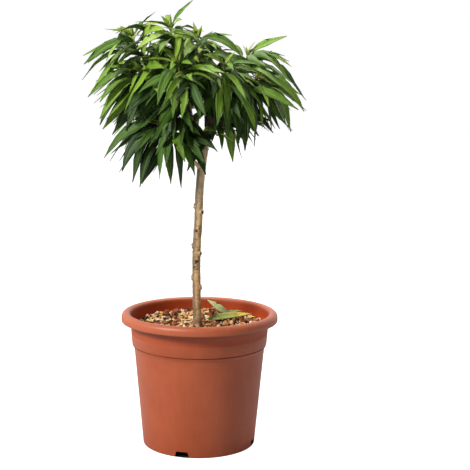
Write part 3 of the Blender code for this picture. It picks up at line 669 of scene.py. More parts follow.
def twig_body(line, clear=0.0):
    radii = [radius + clear for radius in taper(TWIG_RADIUS, TWIG_TIP_RADIUS, len(line))]
    return tube(line, radii, TWIG_SIDES)


def aimed_slots(name, stem):
    """The leaves of a mass that reach a set tip, from the stem's tip downwards."""
    tips = [*OUTER_TIPS.get(name, ()), *FRONT_TIPS.get(name, ())]
    return [
        {
            "name": name, "label": f"aimed {number}", "line": stem, "tip": Vector(tip),
            "share": mix(1.0, 0.62, number / max(1, len(tips) - 1)),
        }
        for number, tip in enumerate(tips)
    ]


def spiral_slots(name, label, line, count, bare, size, first=0.0):
    """The leaves of one shoot, which spiral from its tip down to its bare foot."""
    slots = []
    for number in range(count):
        age = number / (count - 1)
        slots.append({
            "name": name, "label": f"{label} {number}", "line": line, "share": mix(1.0, bare, age**1.25),
            "age": age, "turn": first + SPIRAL * number, "size": size,
        })
    return slots


def leaf_in_slot(slot, attempt):
    """The leaf a slot gives at its first or a later try."""
    rng = random.Random(f"leaf {slot['label']} {slot['name']} {MASSES[slot['name']][5]}")
    if "tip" in slot:
        root = along(slot["line"], slot["share"] - 0.05 * (attempt % 4))[0]
        arch = AIMED_ARCH * rng.uniform(0.85, 1.15) * (1 - 0.1 * (attempt // 2))
        return aimed_leaf(root, slot["tip"], arch, rng.uniform(-0.4, 0.4), rng.uniform(-0.5, 0.5))
    place, axis = along(slot["line"], slot["share"])
    return spiral_leaf(place, axis, slot["turn"] + attempt * 0.75, slot["age"], slot["size"], rng)


class Crown:
    """The twigs and leaves grown so far, with the search trees that keep them clear of each other."""

    def __init__(self, lines, radii):
        self.lines = lines
        self.outline = crown_outline()
        self.wood = {name: search_tree(limb_body(name, lines, radii, CLEAR)) for name in lines}
        self.twigs = {name: [] for name in MASSES}
        self.leaves = {name: [] for name in MASSES}
        self.solids = {name: [] for name in MASSES}
        self.outers = {name: [] for name in MASSES}

    def free(self, name, tree):
        """True if a piece of a mass touches no limb but its own stem, and nothing of another mass."""
        others = [found for other, found in self.wood.items() if other != name]
        for other in MASSES:
            if other != name:
                others += self.solids[other]
        return not any(touch(tree, other) for other in others)

    def grow_twigs(self, name, numbers):
        """Side twigs of a mass, each turned on until it is free."""
        grown = []
        for number in numbers:
            for attempt in range(TRIES):
                line = grow_twig(name, number, self.lines[name], attempt)
                tree = search_tree(twig_body(line, CLEAR))
                if self.free(name, tree):
                    grown.append(line)
                    self.twigs[name].append(line)
                    self.solids[name].append(tree)
                    break
        return grown

    def grow_leaf(self, slot, strict):
        """The leaf of a slot, turned on until it is inside the crown, clear of its mass's own and free."""
        name = slot["name"]
        for attempt in range(TRIES):
            leaf = leaf_in_slot(slot, attempt)
            if "tip" not in slot and not inside_crown(leaf, self.outline):
                continue
            outer = search_tree(leaf_body(leaf, OUTER_STATIONS, CLEAR))
            if attempt < strict and any(touch(outer, other) for other in self.outers[name]):
                continue
            tree = search_tree(leaf_body(leaf, clear=CLEAR))
            if self.free(name, tree):
                leaf["age"] = slot.get("age", 0.5)
                leaf["free"] = 0 if "tip" in slot else 1
                self.leaves[name].append(leaf)
                self.solids[name].append(tree)
                self.outers[name].append(outer)
                return

    def grow_leaves(self, slots, strict):
        """Leaves in turns, one of each mass at a time, so that no mass takes all the room."""
        for turn in range(max(len(found) for found in slots.values())):
            for name in MASSES:
                if turn < len(slots[name]):
                    self.grow_leaf(slots[name][turn], strict)


def grow_crown(lines, radii):
    """The whole crown: twigs first, then the aimed leaves, the stems' and the twigs'."""
    crown = Crown(lines, radii)
    slots = {}
    for name, (_, _, _, count, twig_count, _) in MASSES.items():
        stem = lines[name]
        twigs = crown.grow_twigs(name, range(twig_count))
        slots[name] = aimed_slots(name, stem) + spiral_slots(name, "stem", stem, count, BARE_SHARE, 1.0)
        for number, line in enumerate(twigs):
            leafy = spiral_slots(name, f"twig {number}", line, TWIG_LEAVES, TWIG_BARE_SHARE, TWIG_LEAF)
            slots[name] += leafy
    crown.grow_leaves(slots, STRICT_TRIES)
    return crown


def fill_crown(crown):
    """Finer twigs and more leaves in the room that the first wave left."""
    slots = {}
    for name, (_, _, _, _, twig_count, _) in MASSES.items():
        stem = crown.lines[name]
        twigs = crown.grow_twigs(name, range(twig_count, twig_count + MORE_TWIGS))
        slots[name] = spiral_slots(name, "more", stem, MORE_LEAVES, BARE_SHARE, MORE_LEAF, SPIRAL / 2)
        for number, line in enumerate(twigs):
            leafy = spiral_slots(name, f"fine {number}", line, FINE_LEAVES, TWIG_BARE_SHARE, FINE_LEAF)
            slots[name] += leafy
    crown.grow_leaves(slots, TRIES)


def smooth_line(line, steps):
    """A finer line that passes smoothly through the points of a line."""
    ends = [line[0] * 2 - line[1], *line, line[-1] * 2 - line[-2]]
    fine = []
    for step in range(steps + 1):
        spot = step / steps * (len(line) - 1)
        low = min(int(spot), len(line) - 2)
        t = spot - low
        a, b, c, d = ends[low:low + 4]
        curved = (2 * a - 5 * b + 4 * c - d) * t * t + (3 * b - a - 3 * c + d) * t**3
        fine.append(0.5 * (2 * b + (c - a) * t + curved))
    return fine


def spread(values, steps):
    """A list of numbers read off evenly at more steps."""
    found = []
    for step in range(steps + 1):
        spot = step / steps * (len(values) - 1)
        low = min(int(spot), len(values) - 2)
        found.append(mix(values[low], values[low + 1], spot - low))
    return found


def as_mesh(name, bm):
    """A mesh from a bmesh, which is freed."""
    mesh = bpy.data.meshes.new(name)
    bm.to_mesh(mesh)
    bm.free()
    return mesh


def pour(into, bm):
    """Adds one bmesh to another, and frees it."""
    between = as_mesh("between", bm)
    into.from_mesh(between)
    bpy.data.meshes.remove(between)


def as_piece(name, bm, paints, replaces=(), angle=0):
    """A finished piece in metres that rides on the body and takes its finish from a slot.

    Where an angle in degrees is given, edges that are sharper stay sharp.
    """
    bmesh.ops.recalc_face_normals(bm, faces=bm.faces)
    bmesh.ops.scale(bm, vec=(MM, MM, MM), verts=bm.verts)
    mesh = as_mesh(name, bm)
    mesh.shade_smooth()
    if angle:
        mesh.set_sharp_from_angle(angle=math.radians(angle))
    for paint in paints:
        mesh.materials.append(paint)
    piece = bpy.data.objects.new(name, mesh)
    bpy.context.scene.collection.objects.link(piece)
    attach(piece, "root")
    if replaces:
        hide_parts(*replaces)
    return piece


def apply_modifiers(thing):
    bpy.context.view_layer.update()
    graph = bpy.context.evaluated_depsgraph_get()
    mesh = bpy.data.meshes.new_from_object(thing.evaluated_get(graph))
    thing.modifiers.clear()
    thing.data = mesh


def pot_profile():
    """The pot's section, from the middle of its underside round the lip to the middle of its floor."""
    lip_centre = (LIP_RADIUS - LIP_WIDTH / 2, POT_HEIGHT - LIP_WIDTH / 2)
    outer = (LIP_WIDTH / 2, LIP_WIDTH / 2)
    inner = (outer[0] - LIP_WALL, outer[1] - LIP_WALL)
    lip_foot = POT_HEIGHT - LIP_DEPTH
    step_foot = COLLAR_FOOT - STEP_DROP
    return [
        (0, 0),
        (PAD_RADIUS - 0.8, 0),
        (PAD_RADIUS, 0.8),
        (PAD_RADIUS + 1.6, CHANNEL_HEIGHT - 0.6),
        (PAD_RADIUS + 2.4, CHANNEL_HEIGHT),
        (FOOT_RADIUS - FOOT_RING_WIDTH - 0.6, CHANNEL_HEIGHT),
        (FOOT_RADIUS - FOOT_RING_WIDTH, CHANNEL_HEIGHT - 0.6),
        (FOOT_RADIUS - FOOT_RING_WIDTH, 0.5),
        (FOOT_RADIUS - FOOT_RING_WIDTH + 0.5, 0),
        (FOOT_RADIUS - 1.4, 0),
        *arc((FOOT_RADIUS - 1.4, 1.4), (1.4, 1.4), -70, 0, 4),
        *[(body_radius(height), height) for height in (30, 60, 90, 120, 150)],
        (BODY_TOP_RADIUS - 0.1, step_foot - 2),
        (BODY_TOP_RADIUS + 0.35, step_foot + 0.5),
        (COLLAR_FOOT_RADIUS - 0.9, COLLAR_FOOT - 1.2),
        (COLLAR_FOOT_RADIUS - 0.7, COLLAR_FOOT - 0.6),
        (COLLAR_FOOT_RADIUS - GROOVE, COLLAR_FOOT - 0.4),
        (COLLAR_FOOT_RADIUS - GROOVE, COLLAR_FOOT + 0.8),
        (COLLAR_FOOT_RADIUS - 0.3, COLLAR_FOOT + 1.1),
        (COLLAR_FOOT_RADIUS, COLLAR_FOOT + 1.7),
        (mix(COLLAR_FOOT_RADIUS, COLLAR_TOP_RADIUS, 0.5), mix(COLLAR_FOOT, lip_foot, 0.5)),
        (COLLAR_TOP_RADIUS, lip_foot),
        (lip_centre[0] - inner[0], lip_centre[1] - 3),
        *arc(lip_centre, inner, 180, 0, 12)[1:],
        (LIP_RADIUS - LIP_WALL, lip_foot + 1),
        *arc((LIP_RADIUS - LIP_WALL / 2, lip_foot + 1.2), (LIP_WALL / 2, 1.2), 200, 350, 5),
        *arc(lip_centre, outer, 0, 180, 22),
        (lip_centre[0] - outer[0] - 0.3, lip_foot + 5),
        (inner_radius(lip_foot) + 0.2, lip_foot - 1),
        (inner_radius(lip_foot), lip_foot - 3),
        (inner_radius(COLLAR_FOOT), COLLAR_FOOT),
        (inner_radius(CHANNEL_HEIGHT + FLOOR), CHANNEL_HEIGHT + FLOOR),
        (PAD_RADIUS + 1, CHANNEL_HEIGHT + FLOOR),
        (PAD_RADIUS - 2, FLOOR),
        (0, FLOOR),
    ]


def is_inside(place):
    """True on the pot's floor and on its inner wall up to the roll of the lip."""
    lip_foot = POT_HEIGHT - LIP_DEPTH
    wall = inner_radius(place.z) + 0.6 if place.z < lip_foot else LIP_RADIUS - LIP_WIDTH + 1
    return place.z > FLOOR - 0.5 and math.hypot(place.x, place.y) < wall


def notch_body(number):
    """The wedge that cuts one drain notch out of the pot's foot, in metres."""
    out = bearing_way(FIRST_NOTCH + number * 360 / NOTCHES)
    across = UP.cross(out)
    low, high = NOTCH_WIDTH / 2, NOTCH_WIDTH / 2 * NOTCH_TAPER
    section = ((-low, -2), (low, -2), (high, NOTCH_HEIGHT), (-high, NOTCH_HEIGHT))
    notch = loft([
        [(out * reach + across * aside + UP * height) * MM for aside, height in section]
        for reach in (FOOT_RADIUS - FOOT_RING_WIDTH - 4, FOOT_RADIUS + 6)
    ])
    bmesh.ops.recalc_face_normals(notch, faces=notch.faces)
    return bpy.data.objects.new("notch", as_mesh("notch", notch))


def make_pot():
    bm = turned(pot_profile(), POT_TURN)
    for face in bm.faces:
        face.material_index = 1 if is_inside(face.calc_center_median()) else 0
    paints = [terracotta("pot_outside", 0.45), terracotta("pot_inside", 0.12)]
    pot = as_piece("pot_shell", bm, paints, ["pot"], POT_ANGLE)
    cutters = bpy.data.collections.new("drain_notches")
    bpy.context.scene.collection.children.link(cutters)
    for number in range(NOTCHES):
        cutters.objects.link(notch_body(number))
    cut = pot.modifiers.new("notches", "BOOLEAN")
    cut.operation = "DIFFERENCE"
    cut.operand_type = "COLLECTION"
    cut.collection = cutters
    cut.solver = "EXACT"
    apply_modifiers(pot)
    pot.data.set_sharp_from_angle(angle=math.radians(POT_ANGLE))
    for cutter in list(cutters.objects):
        bpy.data.objects.remove(cutter, do_unlink=True)
    bpy.data.collections.remove(cutters)


def make_soil():
    """The soil's surface, with its edge against the pot's wall."""
    edge = inner_radius(SOIL_LEVEL - 12) - GAP - 0.1
    profile = [(0, SOIL_LEVEL - BED_DEPTH), (edge - 2, SOIL_LEVEL - BED_DEPTH)]
    profile += [(edge * (1 - ring / BED_RINGS), SOIL_LEVEL) for ring in range(BED_RINGS + 1)]
    bm = turned(profile, SOIL_TURN)
    for corner in bm.verts:
        if corner.co.z > SOIL_LEVEL - 1:
            rough = noise.noise(corner.co * 0.22) * 1.1 + noise.noise(corner.co * 0.6) * 0.7
            corner.co.z = soil_height(corner.co.x, corner.co.y) + rough - BED_SINK
    mix_paint = earth("dark_mix", (0.030, 0.015, 0.008), (0.12, 0.060, 0.030))
    as_piece("soil_bed", bm, [mix_paint], ["soil"])


def scatter(rng, count, sizes, margin, spacing):
    """Places and radii of grains on the soil, the larger ones first, with room between them."""
    wanted = sorted((mix(*sizes, rng.random() ** 1.4) for _ in range(count)), reverse=True)
    edge = inner_radius(SOIL_LEVEL - 5) - margin
    around = [(i, j) for i in (-1, 0, 1) for j in (-1, 0, 1)]
    placed, cells = [], {}
    for size in wanted:
        for _ in range(SCATTER_TRIES):
            reach, turn = edge * math.sqrt(rng.random()), rng.uniform(0, math.tau)
            x, y = reach * math.cos(turn), reach * math.sin(turn)
            from_trunk = math.hypot(x - FOOT_PLACE[0], y - FOOT_PLACE[1])
            if reach + size * 0.8 > edge or from_trunk < TRUNK_RADIUS + FLARE + size * 0.7:
                continue
            column, row = int(x // CELL), int(y // CELL)
            near = [grain for i, j in around for grain in cells.get((column + i, row + j), ())]
            if all(math.hypot(x - a, y - b) > (size + r) * spacing for a, b, r in near):
                cells.setdefault((column, row), []).append((x, y, size))
                placed.append((x, y, size))
                break
    return placed


def own_noise(rng):
    """A place in the noise for one small piece, so that no two are alike."""
    return Vector((rng.uniform(0, 99), rng.uniform(0, 99), 0))


def grit_grain(rng, size):
    """One rough crumb round the origin, knobbly and with flats where it broke."""
    grain = bmesh.new()
    bmesh.ops.create_icosphere(grain, subdivisions=2 if size > FINE_CRUMB else 1, radius=size)
    shape = (rng.uniform(0.75, 1.35), rng.uniform(0.6, 0.95), rng.uniform(0.45, 0.75))
    bmesh.ops.scale(grain, vec=shape, verts=grain.verts)
    phase = own_noise(rng)
    for corner in grain.verts:
        lump = noise.noise(corner.co * (1.3 / size) + phase)
        knob = noise.noise(corner.co * (3.2 / size) + phase)
        corner.co *= 1 + 0.65 * lump + 0.35 * knob
    for _ in range(2):
        out = Vector((rng.gauss(0, 1), rng.gauss(0, 1), rng.gauss(0, 1))).normalized()
        flat = size * rng.uniform(0.35, 0.6)
        for corner in grain.verts:
            corner.co -= out * max(0, corner.co.dot(out) - flat)
    return grain


def bark_chip(rng, size):
    """One flat splinter of bark round the origin."""
    chip = bmesh.new()
    bmesh.ops.create_cube(chip, size=1)
    shape = (size * rng.uniform(1.3, 2.4), size * rng.uniform(0.35, 0.75), rng.uniform(0.9, 2.0))
    bmesh.ops.scale(chip, vec=shape, verts=chip.verts)
    bmesh.ops.bevel(
        chip, geom=chip.edges, offset=0.35, segments=1, profile=0.5, affect="EDGES", material=-1,
    )
    phase = own_noise(rng)
    for corner in chip.verts:
        corner.co += noise.noise_vector(corner.co * 0.25 + phase) * 1.3
    return chip


def lay(bm, rng, tilt, x, y, lift):
    """Turns a small piece by chance and lays it on the soil."""
    turn = Euler((rng.uniform(-tilt, tilt), rng.uniform(-tilt, tilt), rng.uniform(0, math.tau)))
    bmesh.ops.transform(bm, matrix=turn.to_matrix().to_4x4(), verts=bm.verts)
    bmesh.ops.translate(bm, vec=(x, y, soil_height(x, y) + lift), verts=bm.verts)


def make_dressing():
    """Crushed grit in five colours over the whole soil, chips of dark bark and dry scraps of leaf."""
    rng = random.Random("grit")
    heaps = {name: bmesh.new() for name in GRIT}
    for x, y, size in scatter(rng, GRIT_COUNT, GRIT_SIZE, 0.5, 0.70):
        grain = grit_grain(rng, size)
        lay(grain, rng, 0.8, x, y, size * rng.uniform(-0.40, 0.1))
        patch = GRIT_CONTRAST * (noise.noise(Vector((x, y, 0)) * GRIT_PATCHES) + rng.uniform(-0.3, 0.3))
        shares = [share * max(0.05, 1 + patch * way) for _, _, share, way in GRIT.values()]
        pour(heaps[rng.choices(list(GRIT), shares)[0]], grain)
    for name, heap in heaps.items():
        dark, light, *_ = GRIT[name]
        as_piece(f"grit_{name}", heap, [stone(f"{name}_grit", dark, light)], angle=32)
    noise.seed_set(CHIP_SEED)
    chips = bmesh.new()
    for x, y, size in scatter(rng, CHIP_COUNT, CHIP_SIZE, 2.5, 0.8):
        chip = bark_chip(rng, size)
        lay(chip, rng, 0.5, x, y, 1.4)
        pour(chips, chip)
    as_piece("bark_chips", chips, [stone("bark_chip", *CHIP_COLOURS)], angle=35)
    scraps = bmesh.new()
    for x, y, size in scatter(rng, SCRAP_COUNT, SCRAP_SIZE, 6, 1.2):
        scrap = leaf_line(Vector((0, 0, 0)), 0, 0.3, 0.6, 1.5, size * 2, rng.uniform(-1, 1), 0)
        bm = leaf_blade(scrap, rng, rng.random(), 1.2)
        lay(bm, rng, 0.5, x, y, 2.4)
        pour(scraps, bm)
    as_piece("dry_scraps", scraps, [dry_leaf("gold")] * 2)


def scar_places(line):
    """Where each cut side shoot left its scar on the trunk, and which way it faces."""
    found = []
    for height, bearing, core in KNOTS:
        place, way = along(line, height / (line[-1].z - line[0].z))
        out = carried(bearing_way(bearing), way)
        found.append((place + out * (TRUNK_RADIUS + SCAR_STAND), out, core))
    return found


def bark_relief(place, scars):
    """How far the bark stands out at a place, and its share of a scar's core and of the ring round it."""
    bands = noise.noise(Vector((place.x * 0.05, place.y * 0.05, place.z * 0.55))) * 0.2
    lumps = noise.noise(place * 0.11) * 0.5 + noise.noise(place * 0.35) * 0.25
    fine = noise.noise(Vector((place.x * 0.7, place.y * 0.7, place.z * 0.9))) * 0.15
    rise = bands + lumps + fine
    worn = callus = 0
    for centre, _, core in scars:
        away = (place - centre).length * (1 + 0.7 * noise.noise(place * 0.45))
        if away < SCAR_REACH:
            ring = math.exp(-(((away - SCAR_RING) / 0.9) ** 2))
            rise += 0.9 * ring - 1.9 * core * math.exp(-((away / 1.9) ** 2))
            worn = max(worn, core * math.exp(-((away / 2.7) ** 2)))
            callus = max(callus, ring)
    return rise, worn, callus


def make_bark(lines, radii):
    """Trunk and boughs as one skin, with swellings round the scars."""
    wood = bmesh.new()
    for name in ("trunk", *BOUGHS):
        steps = TRUNK_STEPS if name == "trunk" else BOUGH_STEPS
        line, thick = smooth_line(lines[name], steps), spread(radii[name], steps)
        if name == "trunk":
            line[0] = line[0] - UP * TRUNK_SINK
        pour(wood, tube(line, thick, LIMB_SIDES))
    scars = scar_places(lines["trunk"])
    for place, out, _ in scars:
        swelling = bmesh.new()
        bmesh.ops.create_icosphere(swelling, subdivisions=3, radius=SCAR_RADIUS)
        flat = Matrix.LocRotScale(place - out * 1.4, out.to_track_quat("Z", "Y"), (1.0, 1.15, 0.72))
        bmesh.ops.transform(swelling, matrix=flat, verts=swelling.verts)
        pour(wood, swelling)
    bark = as_piece("bark", wood, [], ["trunk", *BOUGHS])
    skin = bark.modifiers.new("skin", "REMESH")
    skin.mode = "VOXEL"
    skin.voxel_size = BARK_VOXEL * MM
    skin.use_smooth_shade = True
    apply_modifiers(bark)
    bm = bmesh.new()
    bm.from_mesh(bark.data)
    axes = {"use_axis_x": True, "use_axis_y": True, "use_axis_z": True}
    for _ in range(BARK_SMOOTHING):
        bmesh.ops.smooth_vert(bm, verts=bm.verts, factor=0.5, **axes)
    bm.normal_update()
    layers = [bm.verts.layers.float.new(name) for name in ("scar", "callus", "grey_side")]
    moves = []
    for corner in bm.verts:
        place = corner.co / MM
        rise, worn, callus = bark_relief(place, scars)
        side = corner.normal.dot(GREY_SIDE_WAY) + 0.25 * noise.noise(place * 0.08)
        for layer, share in zip(layers, (worn, callus, max(0, min(1, (side - 0.35) / 0.35)))):
            corner[layer] = share
        moves.append((corner, corner.normal * rise * MM))
    for corner, move in moves:
        corner.co += move
    bm.to_mesh(bark.data)
    bm.free()
    bark.data.shade_smooth()
    bark.data.materials.append(bark_skin())


def make_shoots(crown, radii):
    """The stem and twigs of every mass. Each corner notes how near the tip it is, for the colour."""
    wood = bmesh.new()
    for name in MASSES:
        limbs = [(crown.lines[name], radii[name])]
        limbs += [(line, taper(TWIG_RADIUS, TWIG_TIP_RADIUS, len(line))) for line in crown.twigs[name]]
        for line, thick in limbs:
            slim = [radius * SHOOT_SLIM for radius in spread(thick, SHOOT_STEPS)]
            rings = tube_rings(smooth_line(line, SHOOT_STEPS), slim, SHOOT_SIDES)
            bm = bmesh.new()
            green = bm.verts.layers.float.new("green")
            for number, ring in enumerate(loft_rings(bm, rings)):
                for corner in ring:
                    corner[green] = number / SHOOT_STEPS
            pour(wood, bm)
    as_piece("shoots", wood, [shoot_skin()])


def blade_rings(leaf, rng, wave):
    """Rings of corners along a leaf's blade, the last corner of each on the keel under the midrib."""
    rings = []
    phase, curl = rng.uniform(0, math.tau), rng.uniform(-0.35, 0.35)
    loose = leaf["length"] * leaf.get("free", 0)
    sway = rng.uniform(-LEAF_SWAY, LEAF_SWAY) * loose
    droop = rng.uniform(-LEAF_DROOP, LEAF_DROOP) * loose
    foot = leaf["places"][0]
    out = (foot - Vector((*FOOT_PLACE, foot.z))).normalized()
    sweep = Vector((out.x * LEAF_SWEEP * loose, 0, 0))
    for step in LEAF_BLADE_STEPS:
        share = step / LEAF_STEPS
        place, level, up = leaf["places"][step], leaf["sides"][step], leaf["faces"][step]
        place = place + (level * sway + up * droop + sweep) * share**2
        turn = curl * (share - 0.3)
        side = level * math.cos(turn) + up * math.sin(turn)
        face = up * math.cos(turn) - level * math.sin(turn)
        half = max(half_width(leaf, share), STALK_WIDTH)
        fold = half * LEAF_FOLD * min(1, share * 3 + 0.2) * mix(1.25, 0.7, share)
        ripple = wave * math.sin(share * 15 + phase) * min(1, half / 4)
        rings.append([
            place + side * half * offset + face * (fold * abs(offset) ** 0.8 + ripple * offset)
            for offset, _ in LEAF_CORNERS
        ])
        rings[-1].append(place - face * BLADE_THICKNESS * min(1, half / 2 + 0.3))
    return rings


def leaf_blade(leaf, rng, tone, wave=LEAF_WAVE):
    """One leaf in full: a folded blade with wavy margins, a midrib and an underside of its own."""
    bm = bmesh.new()
    spot = bm.loops.layers.uv.new("blade")
    shade = bm.verts.layers.float.new("tone")
    placed = loft_rings(bm, blade_rings(leaf, rng, wave))
    keel = {ring[-1] for ring in placed}
    where = {}
    for step, ring in zip(LEAF_BLADE_STEPS, placed):
        for corner, (_, across) in zip(ring, (*LEAF_CORNERS, (0, 0.5))):
            where[corner] = (across, step / LEAF_STEPS)
            corner[shade] = tone
    for face in bm.faces:
        is_end = len(face.verts) > len(LEAF_CORNERS)
        face.material_index = 1 if keel.intersection(face.verts) and not is_end else 0
        face.smooth = True
        for loop in face.loops:
            loop[spot].uv = where[loop.vert]
    return bm


def hollow_share(leaf):
    """How deep in one of the crown's hollows of painted shade a leaf hangs, from 0 to 1."""
    spot = leaf["places"][LEAF_STEPS // 2]
    return max(
        math.exp(-(((spot.x - x) / wide) ** 2) - ((spot.z - z) / tall) ** 2)
        for (x, z), (wide, tall) in HOLLOWS
    )


def leaf_kind(leaf, rng):
    """A leaf's kind, by its length, its age, and painted light and shade: its height in the sun and the
    hollow that it hangs in.
    """
    # Painted light: leaves higher up are more often light kinds
    sun = SUN_SHARE * max(0, min(1, (leaf["places"][0].z - SUN_LEVEL) / SUN_DEPTH))
    hollow = hollow_share(leaf)
    draw = rng.random() + HOLLOW_DARK * hollow
    if leaf["length"] < YOUNG_LENGTH and draw < 0.7:
        return "young"
    if leaf["age"] < 0.4 and hollow < 0.45:
        return "bright" if draw < 0.16 + sun else "mid"
    return "mid" if draw < 0.32 + sun else "deep"


def tip_leaf(tip, way, number, rng):
    """One of the small leaves that stand up from a shoot's tip."""
    out = Matrix.Rotation(SPIRAL * number + 0.6, 3, way) @ level_side(way)
    up = (way + out * rng.uniform(0.15, 0.5)).normalized()
    return leaf_line(
        tip - way * 2, *aim(up), rng.uniform(0.2, 0.7), FALL[1], rng.uniform(*YOUNG_SPAN),
        rng.uniform(-0.4, 0.4), rng.uniform(-0.8, 0.8),
    )


def make_leaves(crown):
    """Every leaf that the rule grew and the young ones at the tips, each kind in a piece of its own."""
    heaps = {kind: bmesh.new() for kind in LEAF_COLOURS}
    for name in MASSES:
        rng = random.Random(f"colours {name}")
        for leaf in crown.leaves[name]:
            pour(heaps[leaf_kind(leaf, rng)], leaf_blade(leaf, rng, rng.random()))
        tip, way = crown.lines[name][-1], ways(crown.lines[name])[-1]
        for number in range(YOUNG_LEAVES):
            young = tip_leaf(tip, way, number, rng)
            pour(heaps["young"], leaf_blade(young, rng, rng.random(), 0.2))
    for kind, heap in heaps.items():
        shown = list(MASSES) if kind == "mid" else ()
        as_piece(f"leaves_{kind}", heap, [leaf_top(kind), leaf_under(kind)], shown)


def lying_leaf(foot, tip, hump, wide, look):
    """A dropped leaf from its foot to its tip, that shows its face one way."""
    chord = tip - foot
    side = look.cross(chord).normalized()
    face = chord.cross(side).normalized()
    shares = [step / LEAF_STEPS for step in range(LEAF_STEPS + 1)]
    return {
        "places": [foot + chord * share + face * hump * 4 * share * (1 - share) for share in shares],
        "sides": [side] * len(shares),
        "faces": [face] * len(shares),
        "length": chord.length * wide,
    }


def make_fallen_leaves():
    """Four dry leaves that lie on the grit."""
    heaps = {"pale": bmesh.new(), "yellow": bmesh.new()}
    rng = random.Random("fallen")
    for kind, foot, tip, hump, wide, look in FALLEN:
        leaf = lying_leaf(Vector(foot), Vector(tip), hump, wide, Vector(look))
        pour(heaps[kind], leaf_blade(leaf, rng, rng.random(), 0.7))
    for kind, heap in heaps.items():
        as_piece(f"fallen_{kind}", heap, [dry_leaf(kind), dry_leaf("pale_back")])


class Value:
    """A number socket that can be used in arithmetic. Each operation adds its Math node."""

    def __init__(self, graph, socket):
        self.graph = graph
        self.socket = socket

    def reckon(self, operation, *values):
        return self.graph.node("Math", {"operation": operation}, *values)

    def __add__(self, other):
        return self.reckon("ADD", self, other)

    def __sub__(self, other):
        return self.reckon("SUBTRACT", self, other)

    def __rsub__(self, other):
        return self.reckon("SUBTRACT", other, self)

    def __mul__(self, other):
        return self.reckon("MULTIPLY", self, other)

    def __pow__(self, other):
        return self.reckon("POWER", self, other)

    __radd__ = __add__
    __rmul__ = __mul__

    def absolute(self):
        return self.reckon("ABSOLUTE", self)

    def sine(self):
        return self.reckon("SINE", self)

    def above(self, low, high):
        """0 up to low, 1 from high, and smooth between them."""
        smooth = {"interpolation_type": "SMOOTHSTEP", "clamp": True}
        return self.graph.node("MapRange", smooth, self, low, high, 0.0, 1.0)


class Graph:
    """The nodes of a material or of the surround."""

    def __init__(self, tree):
        self.tree = tree

    def node(self, kind, settings=None, *values, output=0, **named):
        """Adds a node: its settings first, then the values or links of its sockets."""
        made = self.tree.nodes.new("ShaderNode" + kind)
        for key, setting in (settings or {}).items():
            setattr(made, key, setting)
        sockets = [socket for socket in made.inputs if socket.enabled]
        pairs = list(zip(sockets, values))
        pairs += [(next(s for s in sockets if s.name == key), value) for key, value in named.items()]
        for socket, value in pairs:
            self.put(socket, value)
        return Value(self, [socket for socket in made.outputs if socket.enabled][output])

    def put(self, socket, value):
        if isinstance(value, Value):
            self.tree.links.new(value.socket, socket)
        elif isinstance(value, tuple) and socket.type == "RGBA":
            socket.default_value = (*value, 1)
        else:
            socket.default_value = value

    def coordinates(self, kind):
        made = self.tree.nodes.new("ShaderNodeTexCoord")
        return Value(self, made.outputs[kind])

    def parts(self, vector):
        """The three numbers of a vector."""
        split = self.node("SeparateXYZ", {}, vector).socket.node
        return [Value(self, socket) for socket in split.outputs]

    def mixed(self, share, first, second):
        """One colour running into another."""
        return self.node("Mix", {"data_type": "RGBA"}, share, first, second)


class Paint(Graph):
    """A material whose one shader is fed by the expressions that its maker writes."""

    def __init__(self, name, **constants):
        self.material = bpy.data.materials.new(name)
        self.material.use_nodes = True
        super().__init__(self.material.node_tree)
        self.shader = self.tree.nodes["Principled BSDF"]
        self.give(**constants)
        self.place = self.coordinates("Object")

    def give(self, **sockets):
        for name, value in sockets.items():
            self.put(self.shader.inputs[name.replace("_", " ")], value)

    def noise(self, scale, detail=3.0, roughness=0.55, place=None):
        """Noise between about 0.2 and 0.8, with its scale in waves per metre."""
        place = place or self.place
        return self.node("TexNoise", {}, Vector=place, Scale=scale, Detail=detail, Roughness=roughness)

    def stretched(self, x, y, z):
        """Object coordinates stretched along each axis."""
        return self.node("Mapping", {"vector_type": "POINT"}, Vector=self.place, Scale=(x, y, z))

    def attribute(self, name):
        return self.node("Attribute", {"attribute_name": name, "attribute_type": "GEOMETRY"}, output=2)

    def bump(self, height, distance, strength=1.0):
        self.give(Normal=self.node("Bump", {}, Strength=strength, Distance=distance, Height=height))


